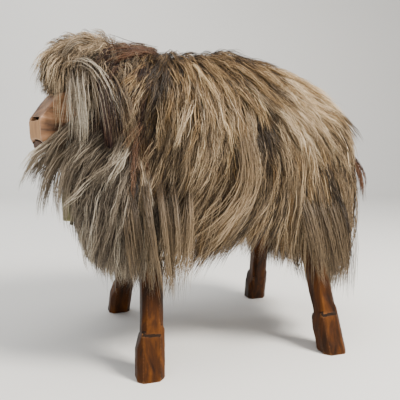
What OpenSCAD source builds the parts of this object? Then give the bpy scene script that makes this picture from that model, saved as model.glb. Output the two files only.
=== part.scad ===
// Shaggy goat footstool: a staked wooden frame, a padded barrel body under a long-haired
// sheepskin, a carved head turned a little to its left, and a small bell on a collar.
// Millimetres. The goat faces -Y, its left side is +X, and it stands on z = 0.

/* [Stance] */
// Hoof to hoof across a pair, at the floor
stance_w = 292; // [284:2:300]
// Front hooves to rear hooves, at the floor
stance_l = 289; // [285:1:293]
// Front hooves ahead of the origin
front_foot = 127; // [125:1:129]
// How far each leg leans outwards
splay = 18.3; // [17.5:0.1:19]
// How far each leg leans away from the middle of the goat
rake = 4.6; // [4:0.1:5]

/* [Legs] */
// Thickness of a leg
leg_t = 31; // [29:0.5:33]
// Bevel along each corner of a leg
leg_bevel = 6.5; // [5:0.5:8]
// Width of a hoof
hoof_w = 34; // [33:0.5:36]
// Height of the hoof's top step
hoof_h = 60; // [55:1:64]
// How far the toe stands ahead of the leg
toe = 6.5; // [5:0.5:8]
// Diameter of the round tenon on a leg
tenon_d = 26; // [24:1:27]

/* [Frame] */
// Width of the seat board
board_w = 196; // [192:1:200]
// Length of the seat board
board_l = 330; // [326:1:334]
// Thickness of the seat board
board_t = 22; // [20:1:24]
// Height of the seat board's underside
board_z = 262; // [260:1:264]
// Height of a leg block
block_h = 50; // [48:1:54]
// Length of a leg block, along the goat
block_l = 58; // [54:1:60]
// Width of the neck post
post_w = 48; // [44:1:50]
// Thickness of the neck post
post_t = 34; // [32:1:36]
// Height of the neck post's top
post_top = 392; // [388:1:396]

/* [Head] */
// How far the head is turned to the goat's left
head_turn = 24; // [22:1:26]
// Length of the head ahead of the post
head_l = 104.5; // [102:0.5:106]
// Half the width of the flat nose
nose_w = 18.5; // [17:0.5:20]
// Diameter of the eyes
eye_d = 13; // [11:0.5:14]

/* [Soft parts] */
// Half the width of the body's padding
pad_w = 112; // [110:1:114]
// Top of the body's padding
pad_top = 442; // [438:1:444]
// Half the width of the body's fleece
fleece_w = 154; // [150:1:157]
// Top of the body's fleece
fleece_top = 471; // [468:1:474]
// Top of the hair on the head
crown_top = 489; // [485:1:492]

/* [Collar and bell] */
// Inner radius of the collar
collar_r = 50.5; // [50:0.5:51]
// Thickness of the collar
collar_t = 3; // [2.5:0.5:3.5]
// Width of the collar
collar_w = 18; // [16:1:20]
// Largest outer radius of the bell
bell_r = 14; // [13:0.5:14.5]
// Height of the bell
bell_h = 50; // [48:1:51]
// Thickness of the bell's metal
bell_t = 1.4; // [1.2:0.1:1.6]
// Radius of the wire in the bell's ring
wire_r = 1.2; // [1:0.1:1.3]

/* [Hidden] */
$fn = 48;
gap = 0.1;             // glue line or drilled clearance round a fitted piece
skin_gap = 0.4;        // room between the fleece and what it passes
board_top = board_z + board_t;
board_y0 = -140;
board_front = board_y0 + 2;
board_y1 = board_y0 + board_l;
block_z = board_z - block_h;
front_block_y = -134;
rear_block_y = 117;
rear_foot = stance_l - front_foot;
post_y1 = board_y0 - gap;
post_y0 = post_y1 - post_t;
post_z = block_z + 2;
seam_y = -118;         // seam between the neck's skin and the body's
belly_w = 130;         // half the free width between the hanging sides of the fleece
lip_t = 2.6;           // turned-under edge of the hide
lip_w = 26;
head_at = [0, post_y0, 0];
collar_at = [0, -165, 300];
collar_tilt = 18;
hang_y = -220.5;       // the plane in which the ring hangs
link_play = 0.3;       // play between two links that hang in each other
bar_r = 1.4;
bar_z = 279;           // the staple's lower leg, which carries the ring
bar_rise = 8;          // its upper leg, above the lower one
ring_r = 9;            // centreline radius of the ring
ring_z = bar_z + bar_r + link_play + wire_r - ring_r;
pivot_z = ring_z - ring_r;  // where the bell turns on the ring
loop_wire = 1.1;
loop_r = 2.8;          // centreline radius of the crown wire's two bends
bell_top = pivot_z - 11;
bell_mouth = bell_top - bell_h;
bell_room_w = 46;
loop_drop = 6;         // how far the crown wire reaches into the bell before it bends
clapper_pivot = bell_top - loop_drop - loop_r;
ear_top = [64, -186, 440];
ear_tip = [96, -172, 338];
tail_top = [0, 256, 342];
tail_tip = [0, 265, 222];

// ---------- curves ----------

// One point of a smooth curve through b and c, a share t of the way between them
function between(a, b, c, d, t) =
    0.5 * (2 * b + (c - a) * t + (2 * a - 5 * b + 4 * c - d) * t * t
           + (3 * b - a - 3 * c + d) * t * t * t);

// A smooth curve through the points, with n steps between each two
function smooth(pts, n = 4) =
    let (last = len(pts) - 1)
    [for (i = [0 : last - 1], j = [0 : n - 1])
        between(pts[max(i - 1, 0)], pts[i], pts[i + 1], pts[min(i + 2, last)], j / n),
     pts[last]];

function signed_pow(v, p) = sign(v) * pow(abs(v), p);

// An arch of half-width w: straight from base to mid, then a round top
function arch(w, base, mid, top, e = 2.3, n = 12) =
    [[w, base],
     for (i = [0 : 2 * n])
        let (a = 90 * i / n)
        [w * signed_pow(cos(a), 2 / e), mid + (top - mid) * signed_pow(sin(a), 2 / e)],
     [-w, base]];

// An oval of half-width w between y0 and y1
function oval(w, y0, y1, e = 2.4, n = 16) =
    [for (i = [0 : 2 * n - 1])
        let (a = 180 * i / n)
        [w * signed_pow(cos(a), 2 / e),
         (y0 + y1) / 2 + (y1 - y0) / 2 * signed_pow(sin(a), 2 / e)]];

// ---------- helpers ----------

// The solid that has one outline from the side, one from the front and one from above
module loaf(side, front, plan) {
    intersection() {
        translate([-200, 0, 0]) rotate([90, 0, 90]) linear_extrude(400) polygon(side);
        translate([0, 400, 0]) rotate([90, 0, 0]) linear_extrude(800) polygon(front);
        linear_extrude(600) polygon(plan);
    }
}

// A bar of the given radius from a to b
module bar(a, b, r) {
    d = b - a;
    translate(a)
        rotate([0, acos(d.z / norm(d)), atan2(d.y, d.x)])
            cylinder(h = norm(d), r = r);
}

// A drop that hangs from a to b: thin at the root, fullest below the middle
module drop(a, b, r_root, r_full, r_tip, grow = 0) {
    d = b - a;
    reach = norm(d);
    edge = smooth([[r_root + grow, 0], [r_root + grow + 2, reach * 0.2],
                   [r_full + grow, reach * 0.6], [r_tip + grow, reach]], 5);
    translate(a)
        rotate([0, acos(d.z / norm(d)), atan2(d.y, d.x)])
            rotate_extrude()
                polygon(concat([[0, -grow]], [[r_root + grow, -grow]], edge,
                               [[r_tip * 0.6, reach + r_tip * 0.5 + grow],
                                [0, reach + r_tip * 0.6 + grow]]));
}

// A torus round the local z axis
module torus(centreline, r) {
    rotate_extrude() translate([centreline, 0]) circle(r = r, $fn = 24);
}

// A countersunk wood screw that points down, its head's face at z = 0
module wood_screw(length, d, head_d, grow = 0) {
    rotate_extrude()
        polygon([[0, 0], [head_d / 2 + grow, 0], [d / 2 + grow, -(head_d - d) / 2],
                 [d / 2 + grow, -length + d], [0, -length - grow]]);
}

module below(z) { translate([-300, -400, z - 600]) cube([600, 800, 600]); }
module above(z) { translate([-300, -400, z]) cube([600, 800, 600]); }

// ---------- legs ----------

// Put the children on a leg's own axis: side is 1 for left, end is -1 for front
module on_leg(side, end) {
    lean = 1 / sqrt(1 + pow(tan(splay), 2) + pow(tan(rake), 2));
    translate([side * stance_w / 2, end < 0 ? -front_foot : rear_foot, 0])
        rotate([asin(end * tan(rake) * lean), -side * splay, 0])
            children();
}

// A square with bevelled corners, w wide and from y0 to y1
module bevelled(w, y0, y1, bevel) {
    polygon([[-w / 2 + bevel, y0], [w / 2 - bevel, y0], [w / 2, y0 + bevel],
             [w / 2, y1 - bevel], [w / 2 - bevel, y1], [-w / 2 + bevel, y1],
             [-w / 2, y1 - bevel], [-w / 2, y0 + bevel]]);
}

// The carved hoof: a thicker block whose toe slopes forwards from the step
module hoof() {
    half = hoof_w / 2;
    back = leg_t / 2 + 2;
    step = hoof_h - 3;
    front = -leg_t / 2 - toe;
    intersection() {
        translate([0, 0, -15]) linear_extrude(120) bevelled(hoof_w, front, back, leg_bevel + 1);
        translate([-50, 0, 0]) rotate([90, 0, 90]) linear_extrude(100)
            polygon([[front, -15], [back, -15], [back, step + 8], [back - 4, step + 13],
                     [-leg_t / 2, hoof_h], [front, hoof_h - 21]]);
        translate([0, 50, 0]) rotate([90, 0, 0]) linear_extrude(100)
            polygon([[-half, -15], [half, -15], [half, step - 2], [half - 2, step],
                     [leg_t / 2 - 1, step + 20], [1 - leg_t / 2, step + 20],
                     [2 - half, step], [-half, step - 2]]);
    }
}

module leg(side, end) {
    difference() {
        union() {
            intersection() {
                on_leg(side, end) {
                    translate([0, 0, -15]) linear_extrude(260)
                        bevelled(leg_t, -leg_t / 2, leg_t / 2, leg_bevel);
                    hoof();
                }
                below(block_z - gap);
            }
            intersection() {
                on_leg(side, end) translate([0, 0, 60]) cylinder(h = 300, d = tenon_d);
                below(board_top);
            }
        }
        below(0);
        wedge(side, end, gap);
    }
}

// The wedge that is driven into the top of a tenon
module wedge(side, end, grow = 0) {
    intersection() {
        on_leg(side, end)
            translate([0, tenon_d / 2 - 0.8, 285]) rotate([90, 0, 0]) linear_extrude(tenon_d - 1.6)
                polygon([[-1 - grow, 0], [1 + grow, 0], [3 + grow, 45], [-3 - grow, 45]]);
        below(board_top + grow);
    }
}

// The four tenons, made larger so that they drill their bores
module tenon_bores() {
    for (side = [-1, 1], end = [-1, 1])
        on_leg(side, end) translate([0, 0, 60]) cylinder(h = 300, d = tenon_d + 2 * gap);
}

module front_left_leg() { color("#7a431f") leg(1, -1); }
module front_right_leg() { color("#7a431f") leg(-1, -1); }
module rear_left_leg() { color("#7a431f") leg(1, 1); }
module rear_right_leg() { color("#7a431f") leg(-1, 1); }

module leg_wedges() {
    color("#8a5a35") for (side = [-1, 1], end = [-1, 1]) wedge(side, end);
}

// ---------- frame ----------

// Screws down through the board into the two blocks
module screws_at(grow = 0) {
    for (x = [-85, -16, 16, 85], y = [front_block_y, rear_block_y])
        translate([x, y + block_l / 2, board_top]) wood_screw(55, 4.5, 9, grow);
}

module seat_board() {
    corner = 26;
    color("#b98a55") difference() {
        translate([0, 0, board_z]) linear_extrude(board_t)
            intersection() {
                polygon([[-board_w / 2, board_y0], [board_w / 2, board_y0],
                         [board_w / 2, board_y1], [-board_w / 2, board_y1]]);
                polygon([[corner - board_w / 2, board_y0], [board_w / 2 - corner, board_y0],
                         [board_w / 2, board_y0 + corner], [board_w / 2, board_y1 - corner],
                         [board_w / 2 - corner, board_y1], [corner - board_w / 2, board_y1],
                         [-board_w / 2, board_y1 - corner], [-board_w / 2, board_y0 + corner]]);
            }
        tenon_bores();
        screws_at(gap);
        neck_bolts_at(gap);
        tacks_at(gap);
    }
}

module leg_block(y) {
    chamfer = 6;
    difference() {
        translate([0, y + block_l, 0]) rotate([90, 0, 0]) linear_extrude(block_l)
            polygon([[-board_w / 2, board_z - gap], [-board_w / 2, block_z + chamfer],
                     [chamfer - board_w / 2, block_z], [board_w / 2 - chamfer, block_z],
                     [board_w / 2, block_z + chamfer], [board_w / 2, board_z - gap]]);
        tenon_bores();
        screws_at(gap);
        neck_bolts_at(gap);
    }
}

module front_leg_block() { color("#a87a48") leg_block(front_block_y); }
module rear_leg_block() { color("#a87a48") leg_block(rear_block_y); }
module block_screws() { color("#9a958a") screws_at(); }

// ---------- neck post ----------

module neck_bolts_at(grow = 0) {
    for (z = [block_z + 22, board_z + board_t / 2])
        translate([0, post_y0 - 2, z]) rotate([-90, 0, 0]) {
            cylinder(h = 78, r = 3.5 + grow);
            translate([0, 0, -5]) cylinder(h = 5, r = 6.5, $fn = 6);
        }
}

module neck_bolts() { color("#8d8a80") neck_bolts_at(); }

module neck_washers() {
    color("#a5a197") for (z = [block_z + 22, board_z + board_t / 2])
        translate([0, post_y0 - 2 + gap, z]) rotate([-90, 0, 0]) difference() {
            cylinder(h = 2 - 2 * gap, r = 9);
            translate([0, 0, -1]) cylinder(h = 4, r = 3.5 + 2 * gap);
        }
}

module neck_post() {
    color("#a87a48") difference() {
        translate([0, post_y1, 0]) rotate([90, 0, 0]) linear_extrude(post_t)
            polygon([[-post_w / 2, post_z], [post_w / 2, post_z],
                     [post_w / 2, post_top - 14], [post_w / 2 - 12, post_top],
                     [12 - post_w / 2, post_top], [-post_w / 2, post_top - 14]]);
        neck_bolts_at(gap);
        dowel(gap);
        head_screw_at(gap);
    }
}

// ---------- head ----------

module turned() { translate(head_at) rotate([0, 0, head_turn]) children(); }

module dowel(grow = 0) {
    translate([0, post_y0 - 32 - grow, 358]) rotate([-90, 0, 0])
        cylinder(h = 32 + post_t - 6 + 2 * grow, r = 9 + grow);
}

module head_screw_at(grow = 0) {
    translate([0, post_y1, 332]) rotate([-90, 0, 0]) wood_screw(62, 5, 10, grow);
}

module eyes(side, grow = 0) {
    turned() translate([side * 27.5, -48, 379]) sphere(d = eye_d + 2 * grow);
}

// One wide notch across the top of the flat nose
module nostrils() {
    turned() translate([-13, -head_l - 4, 355]) rotate([-12, 0, 0]) cube([26, 15, 5.6]);
}

// The mouth: an arched cut whose ends turn down
module mouth() {
    turned() translate([0, 0, 297.5]) rotate([90, 0, 0])
        linear_extrude(head_l + 4) difference() {
            circle(r = 30);
            circle(r = 28);
            translate([-40, -100]) square([80, 100]);
        }
}

// Outline of the head from the side: nose, bridge, brow, back and jaw
function head_side() =
    concat(smooth([[-head_l, 329], [-head_l - 0.5, 342], [-head_l, 355], [-head_l + 6, 364],
                   [-80, 387], [-56, 403], [-30, 412], [6, 414]], 4),
           [[60, 414], [60, 298]],
           smooth([[6, 298], [-40, 301], [-70, 306], [-88, 309], [-98, 314], [-head_l + 3, 322]], 3));

module head() {
    color("#7d4a26") difference() {
        turned() intersection() {
            loaf(head_side(),
                 concat(arch(34, 340, 360, 415, 2.2), [[-30, 318], [-20, 297], [20, 297], [30, 318]]),
                 concat(smooth([[nose_w, -head_l - 1], [nose_w + 3, -84], [25, -62], [32, -38],
                                [34, -10], [34, 60]], 4),
                        smooth([[-34, 60], [-34, -10], [-32, -38], [-25, -62],
                                [-nose_w - 3, -84], [-nose_w, -head_l - 1]], 4)));
        }
        translate([-200, post_y0 - gap, 0]) cube([400, 200, 600]);
        nostrils();
        intersection() {
            mouth();
            turned() translate([-60, -head_l - 4, 300]) cube([120, 16, 40]);
        }
        for (side = [-1, 1]) eyes(side, gap);
        dowel(gap);
        head_screw_at(gap);
    }
}

module head_dowel() { color("#c49a66") dowel(); }
module head_screw() { color("#9a958a") head_screw_at(); }

// An eye: the outer part of a bead, flat where it sits in its socket
module eye(side) { color("#cdbd93") eyes(side); }
module eye_left() { eye(1); }
module eye_right() { eye(-1); }

// ---------- padding ----------

module body_pad_shape() {
    loaf(concat([[board_front, board_z + gap], [board_front, 380]],
                smooth([[-130, 408], [-104, 432], [-20, pad_top - 1], [20, pad_top], [62, 435],
                        [114, 417], [188, 392], [222, 364], [235, 325], [238, board_z + gap]], 3)),
         arch(pad_w, board_z, 290, pad_top, 2.4),
         oval(pad_w, -290, 239, 3.2));
}

module body_padding() {
    color("#e2d8bf") difference() {
        body_pad_shape();
        translate([0, 0, board_z - 1]) linear_extrude(board_t + 1 + gap)
            polygon([[-board_w / 2 - gap, -200], [board_w / 2 + gap, -200],
                     [board_w / 2 + gap, board_y1 + gap], [-board_w / 2 - gap, board_y1 + gap]]);
        collar_room();
    }
}

module on_collar() { translate(collar_at) rotate([collar_tilt, 0, 0]) children(); }

// The band that the collar takes where it goes round the neck's root
module collar_room() {
    on_collar() difference() {
        cylinder(h = collar_w + 1, r = collar_r + collar_t + 0.5, center = true);
        cylinder(h = collar_w + 2, r = collar_r - 0.5, center = true);
    }
}

// The neck's padding is round, so that the collar can lie on it
module neck_pad_shape(grow = 0) {
    on_collar() rotate_extrude()
        polygon([[0, -72 - grow], [collar_r - 6 + grow, -72 - grow], [collar_r - 1 + grow, -20],
                 [collar_r - 1 + grow, 20], [46 + grow, 70], [36 + grow, 92 + grow],
                 [0, 92 + grow]]);
}

module neck_padding() {
    color("#e2d8bf") difference() {
        intersection() {
            neck_pad_shape();
            above(post_z);
            translate([-300, -400, 0]) cube([600, 400 + board_front - gap, 600]);
        }
        post_room();
        translate([-board_w / 2, board_y0 - gap, block_z]) cube([board_w, 90, board_t + block_h]);
        head_room();
        neck_bolts_at(gap);
        neck_washer_room();
        staple_legs(gap);
    }
}

module neck_washer_room() {
    for (z = [block_z + 22, board_z + board_t / 2])
        translate([0, post_y0 - 8, z]) rotate([-90, 0, 0]) cylinder(h = 9, r = 9 + gap);
}

// The space that the head takes, as one plain block with its corners cut
module head_room() {
    turned() translate([0, 0, 296]) linear_extrude(119.5)
        polygon([[-nose_w - 4, -130], [nose_w + 4, -130], [nose_w + 6, -84], [35, -36],
                 [35, 60], [-35, 60], [-35, -36], [-nose_w - 6, -84]]);
}

// ---------- sheepskins ----------

// Room under the belly, between the hanging sides of the fleece, where the legs are
module belly_room() {
    translate([-belly_w, board_front, -1]) cube([2 * belly_w, 318, block_z + 1]);
    translate([-pad_w, board_front, -1]) cube([2 * pad_w, 318, board_z - lip_t + 1]);
    translate([lip_w - pad_w, board_front, board_z - lip_t - 1])
        cube([2 * (pad_w - lip_w), 318 - lip_w, lip_t + 2]);
}

module body_fleece_shape() {
    loaf(concat([[seam_y, 118], [seam_y, fleece_top - 3]],
                smooth([[-71, fleece_top - 6], [-20, fleece_top - 1], [20, fleece_top],
                        [62, 462], [114, 446], [188, 424], [236, 402], [264, 368],
                        [276, 320], [279, 240], [277, 150], [264, 104]], 3),
                smooth([[186, 100], [121, 130], [89, 154], [34, 172], [-5, 174], [-49, 160],
                        [-72, 143], [-96, 114]], 3)),
         arch(fleece_w, 60, 300, fleece_top, 2.3),
         oval(fleece_w, -300, 279.5, 3.2));
}

module body_sheepskin() {
    color("#8a7a5e") difference() {
        body_fleece_shape();
        difference() {
            body_pad_shape();
            below(board_z);
        }
        belly_room();
        drop(tail_top, tail_tip, 7, 12, 5, skin_gap);
        frame_room();
        tacks_at(gap);
    }
}

// The frame's own outline, which the skins wrap round
module frame_room() {
    translate([-board_w / 2 - gap, board_y0 - 0.2, block_z - gap])
        cube([board_w + 2 * gap, board_l + 0.4, block_h + board_t + 2 * gap]);
}

function neck_side() =
    concat([[seam_y - gap, fleece_top - 3], [-140, fleece_top - 3], [-141, 364], [-165, 362]],
           [[-200, 372], [-226, 380], [-231, 345], [-236, 314]],
           smooth([[-268, 307], [-276, 288], [-268, 256], [-252, 226], [-236, 232], [-222, 208],
                   [-213, 178], [-197, 142], [-170, 128], [-140, 126], [seam_y - gap, 122]], 3));

module neck_sheepskin() {
    color("#85765d") difference() {
        loaf(neck_side(), arch(142, 60, 220, 473, 2.4), oval(142, -277, 60, 2.4));
        intersection() {
            neck_pad_shape();
            above(post_z);
        }
        translate([-belly_w, board_front, -1]) cube([2 * belly_w, 60, block_z + 1]);
        translate([-pad_w, board_front - gap, block_z - 1])
            cube([2 * pad_w, 60, pad_top - block_z + 2]);
        on_collar() cylinder(h = collar_w + 1, r = collar_r + collar_t + 0.5, center = true);
        post_room();
        head_room();
        bell_room();
        neck_washer_room();
        frame_room();
        buckle_room();
        keeper_room();
        ears_room();
    }
}

module ears_room() {
    for (side = [0, 1]) mirror([side, 0, 0]) drop(ear_top, ear_tip, 11, 15, 6, skin_gap);
}

// The neck post's own outline, which the soft parts wrap round
module post_room() {
    translate([-post_w / 2 - gap, post_y0 - gap, post_z - gap])
        cube([post_w + 2 * gap, post_t + 2 * gap, post_top - post_z + 2 * gap]);
}

// The space in front of the chest in which the bell swings
module bell_room() {
    translate([-bell_room_w, -300, 150]) cube([2 * bell_room_w, 300 - 199, 300 - 150]);
    translate([-26, -300, 150]) cube([52, 300 - 196, 304 - 150]);
}

module head_sheepskin() {
    color("#8d7c5c") difference() {
        loaf(concat(smooth([[-140.2, fleece_top - 3], [-155, crown_top - 6], [-194, crown_top],
                            [-224, crown_top - 13], [-245, 450], [-252, 415], [-246, 396]], 4),
                    [[-226, 380.2], [-200, 372.2], [-165, 362.2], [-141.2, 364.2]]),
             arch(76, 340, 400, crown_top, 2.2),
             oval(78, -255, -60, 2.4));
        head_room();
        intersection() {
            neck_pad_shape(gap);
            above(post_z);
        }
        post_room();
        ears_room();
        for (side = [-1, 1]) eyes(side, gap);
    }
}

module ear_left() { color("#a39274") drop(ear_top, ear_tip, 11, 15, 6); }
module ear_right() { mirror([1, 0, 0]) ear_left(); }
module tail() { color("#7a5a3c") drop(tail_top, tail_tip, 7, 12, 5); }

// Tacks that hold the turned-under hide to the board
module tacks_at(grow = 0) {
    first = front_block_y + block_l + 12;
    last = rear_block_y - 12;
    for (side = [-1, 1], i = [0 : 7])
        tack([side * (board_w / 2 - 7), first + (last - first) * i / 7], grow);
    for (i = [-2 : 2]) tack([i * 30, board_y1 - 7], grow);
}

module tack(at, grow) {
    translate([at.x, at.y, board_z - lip_t]) {
        translate([0, 0, -2]) cylinder(h = 2, r = 4.5);
        cylinder(h = 12 + grow, r = 0.9 + grow);
    }
}

module hide_tacks() { color("#a98b4a") tacks_at(); }

// ---------- collar ----------

// Place the children on the collar's outer face, at an angle from the throat
module on_strap(angle) {
    on_collar() rotate([0, 0, angle]) translate([0, -collar_r - collar_t, 0]) children();
}

module collar_strap() {
    color("#4a3020") difference() {
        on_collar() rotate_extrude() translate([collar_r, -collar_w / 2])
            square([collar_t, collar_w]);
        staple_legs(gap);
        rivets_at(gap);
    }
}

module buckle_room() {
    on_strap(62) translate([-14, -7, -15]) cube([28, 8, 30]);
}

module keeper_room() {
    on_strap(80) translate([-5, -2.2, -collar_w / 2 - 2.6]) cube([10, 4, collar_w + 5.2]);
}

module collar_buckle() {
    color("#9c8a4e") on_strap(62) translate([0, -1.4, 0]) rotate([90, 0, 0]) {
        for (z = [-12, 12]) translate([-10, z, 0]) rotate([0, 90, 0]) cylinder(h = 20, r = 1.2);
        for (x = [-10, 10]) translate([x, -12, 0]) rotate([-90, 0, 0]) cylinder(h = 24, r = 1.2);
        for (x = [-10, 10], z = [-12, 12]) translate([x, z, 0]) sphere(r = 1.2);
    }
}

module buckle_prong() {
    color("#9c8a4e") on_strap(62) translate([-12, -3.8, 0]) rotate([0, 90, 0])
        cylinder(h = 24, r = 1);
}

module strap_keeper() {
    color("#3c281b") on_strap(80) difference() {
        translate([-4, -1.6, -collar_w / 2 - 1.8]) cube([8, 1.4, collar_w + 3.6]);
        translate([-5, -0.9, -collar_w / 2 - 0.3]) cube([10, 2, collar_w + 0.6]);
    }
}

// The staple: two legs through the strap and an upright bar in front
module staple_legs(grow = 0) {
    front = hang_y - 4;
    for (z = [bar_z, bar_z + bar_rise])
        bar([0, front, z], [0, collar_at.y - collar_r + 6, z], bar_r + grow);
}

module bell_staple() {
    front = hang_y - 4;
    color("#6d6a58") {
        staple_legs();
        bar([0, front, bar_z], [0, front, bar_z + bar_rise], bar_r);
        for (z = [bar_z, bar_z + bar_rise]) translate([0, front, z]) sphere(r = bar_r);
    }
}

module rivets_at(grow = 0) {
    for (angle = [-9, 9])
        on_strap(angle) rotate([90, 0, 0]) {
            cylinder(h = 1.2, r = 2.6);
            translate([0, 0, -collar_t - 0.8]) cylinder(h = collar_t + 0.8, r = 1.2 + grow);
        }
}

module staple_rivets() { color("#9c8a4e") rivets_at(); }

// ---------- bell ----------

module bell_ring() {
    color("#6d6a58") translate([0, hang_y, ring_z]) rotate([90, 0, 0]) torus(ring_r, wire_r);
}

// Outer edge of the bell, from the mouth to the crown
function bell_edge(inset) =
    smooth([[bell_r - 1.4 - inset, 0], [bell_r - 0.9 - inset, bell_h * 0.25],
            [bell_r - inset, bell_h * 0.6], [bell_r - 1 - inset, bell_h * 0.85]], 4);

module bell_shell() {
    color("#77724f") difference() {
        translate([0, hang_y, bell_mouth]) rotate_extrude()
            polygon(concat(bell_edge(0), [[bell_r - 4, bell_h - 2], [bell_r - 7, bell_h],
                                          [0, bell_h]],
                           [[0, bell_h - bell_t], [bell_r - 7.5, bell_h - bell_t],
                            [bell_r - 4.8, bell_h - bell_t - 2]],
                           [for (i = [len(bell_edge(0)) - 1 : -1 : 0]) bell_edge(bell_t)[i]]));
        crown_legs(gap);
        bell_rivets_at(gap);
    }
}

// The bent wire that carries the bell above and the clapper below
module crown_legs(grow = 0) {
    for (y = [-loop_r, loop_r])
        translate([0, hang_y + y, bell_top - loop_drop])
            cylinder(h = pivot_z - bell_top + loop_drop, r = loop_wire + grow);
}

module bell_crown_loop() {
    color("#6d6a58") {
        crown_legs();
        translate([0, hang_y, pivot_z]) rotate([90, 0, 90]) rotate_extrude(angle = 180)
            translate([loop_r, 0]) circle(r = loop_wire, $fn = 24);
        translate([0, hang_y, bell_top - loop_drop]) rotate([-90, 0, 90])
            rotate_extrude(angle = 180) translate([loop_r, 0]) circle(r = loop_wire, $fn = 24);
    }
}

module bell_rivets_at(grow = 0) {
    for (side = [-1, 1], z = [bell_h * 0.3, bell_h * 0.68])
        translate([side * (bell_r - 3.2), hang_y, bell_mouth + z]) rotate([0, side * 90, 0]) {
            cylinder(h = 3.6, r = 0.8 + grow);
            translate([0, 0, 3.3]) cylinder(h = 0.8, r = 1.8);
        }
}

module bell_rivets() { color("#8f855a") bell_rivets_at(); }

// The clapper: an eye, a stem and a knob that reaches below the mouth
module clapper() {
    eye_wire = 0.9;
    eye_r = 2.6;
    eye_z = clapper_pivot + loop_wire + link_play + eye_wire - eye_r;
    knob_z = bell_mouth - 7.5;
    color("#4c4a38") translate([0, hang_y, 0]) {
        translate([0, 0, eye_z]) rotate([90, 0, 0]) torus(eye_r, eye_wire);
        bar([0, 0, knob_z + 5], [0, 0, eye_z - eye_r], 1.1);
        translate([0, 0, knob_z]) rotate_extrude()
            polygon([[0, 0], [2.3, 0], [2.8, 2], [2.5, 5], [1.4, 8], [0, 8]]);
    }
}

seat_board();
front_leg_block();
rear_leg_block();
front_left_leg();
front_right_leg();
rear_left_leg();
rear_right_leg();
leg_wedges();
block_screws();
neck_post();
neck_bolts();
neck_washers();
head();
head_dowel();
head_screw();
eye_left();
eye_right();
body_padding();
neck_padding();
body_sheepskin();
neck_sheepskin();
head_sheepskin();
ear_left();
ear_right();
tail();
hide_tacks();
collar_strap();
collar_buckle();
buckle_prong();
strap_keeper();
bell_staple();
staple_rivets();
bell_ring();
bell_shell();
bell_crown_loop();
bell_rivets();
clapper();
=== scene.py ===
"""A shaggy goat footstool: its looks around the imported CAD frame. Metres; the goat faces -Y."""
import math
from collections import namedtuple
from itertools import product

import bmesh
import bpy
import numpy as np
from mathutils import Matrix, Vector


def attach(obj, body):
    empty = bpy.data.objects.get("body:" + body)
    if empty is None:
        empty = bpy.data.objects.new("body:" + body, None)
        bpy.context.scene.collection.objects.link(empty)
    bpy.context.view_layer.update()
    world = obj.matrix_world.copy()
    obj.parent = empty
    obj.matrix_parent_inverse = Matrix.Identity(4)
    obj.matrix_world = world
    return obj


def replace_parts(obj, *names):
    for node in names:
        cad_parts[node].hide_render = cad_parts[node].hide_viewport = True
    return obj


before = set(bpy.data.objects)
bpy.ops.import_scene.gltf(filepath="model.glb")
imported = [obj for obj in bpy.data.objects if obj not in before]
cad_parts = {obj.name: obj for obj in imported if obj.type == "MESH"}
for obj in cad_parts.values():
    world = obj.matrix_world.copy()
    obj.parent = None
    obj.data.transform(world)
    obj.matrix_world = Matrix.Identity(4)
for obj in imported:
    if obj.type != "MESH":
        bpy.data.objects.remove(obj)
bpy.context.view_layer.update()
scene = bpy.context.scene

# ---------- camera, light and floor ----------

CAM_AT = Vector((0.7767, -0.2598, 0.3167))
CAM_LOOK = Vector((-0.9461, 0.3051, -0.1088))
LENS = 43.66
SENSOR = 36

LAMPS = [  # name, place, aim, size, watts, colour
    ("key", (1.0, 0.95, 1.55), (0, 0.1, 0.34), (0.6, 0.6), 87, (1.0, 0.955, 0.89)),
    ("top", (0.1, -0.3, 2.2), (0, 0, 0.3), (1.2, 1.6), 24, (1.0, 0.98, 0.95)),
    ("fill", (1.9, -0.9, 0.9), (0, 0, 0.25), (1.2, 1.4), 6, (0.94, 0.97, 1.0)),
    ("backdrop", (-1.2, -0.9, 2.2), (-2.8, -1.0, 0.9), (1.6, 1.6), 52, (0.98, 0.99, 1.0)),
]
SKY, SKY_STRENGTH = (0.95, 0.96, 1.0, 1), 0.55


def add_camera():
    data = bpy.data.cameras.new("camera")
    data.sensor_width = SENSOR
    data.lens = LENS
    data.clip_start, data.clip_end = 0.02, 50
    cam = bpy.data.objects.new("camera", data)
    cam.location = CAM_AT
    cam.rotation_euler = CAM_LOOK.to_track_quat("-Z", "Y").to_euler()
    scene.collection.objects.link(cam)
    scene.camera = cam


def add_area(name, at, aim, size, watts, colour):
    data = bpy.data.lights.new(name, "AREA")
    data.shape = "RECTANGLE"
    data.size, data.size_y = size
    data.energy = watts
    data.color = colour
    lamp = bpy.data.objects.new(name, data)
    lamp.location = at
    lamp.rotation_euler = (Vector(aim) - Vector(at)).to_track_quat("-Z", "Y").to_euler()
    scene.collection.objects.link(lamp)


def add_world():
    world = bpy.data.worlds.new("studio")
    world.use_nodes = True
    sky = world.node_tree.nodes["Background"].inputs
    sky["Color"].default_value = SKY
    sky["Strength"].default_value = SKY_STRENGTH
    scene.world = world


def new_material(name):
    """A node material: (material, its node tree's add function, link function, shader)."""
    m = bpy.data.materials.new(name)
    m.use_nodes = True
    t = m.node_tree

    def add(kind, **values):
        n = t.nodes.new(kind)
        for key, value in values.items():
            if key in n.inputs:
                n.inputs[key].default_value = value
            else:
                setattr(n, key, value)
        return n

    return m, add, t.links.new, t.nodes["Principled BSDF"]


def srgb(*rgb):
    """A display colour (0 to 255) as linear light."""
    return tuple(v / 12.92 if v <= 0.04045 else ((v + 0.055) / 1.055) ** 2.4 for v in (c / 255 for c in rgb))


def tones(*stops):
    """Ramp stops from (place, red, green, blue), in display colours."""
    return [(at, srgb(*rgb)) for at, *rgb in stops]


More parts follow.
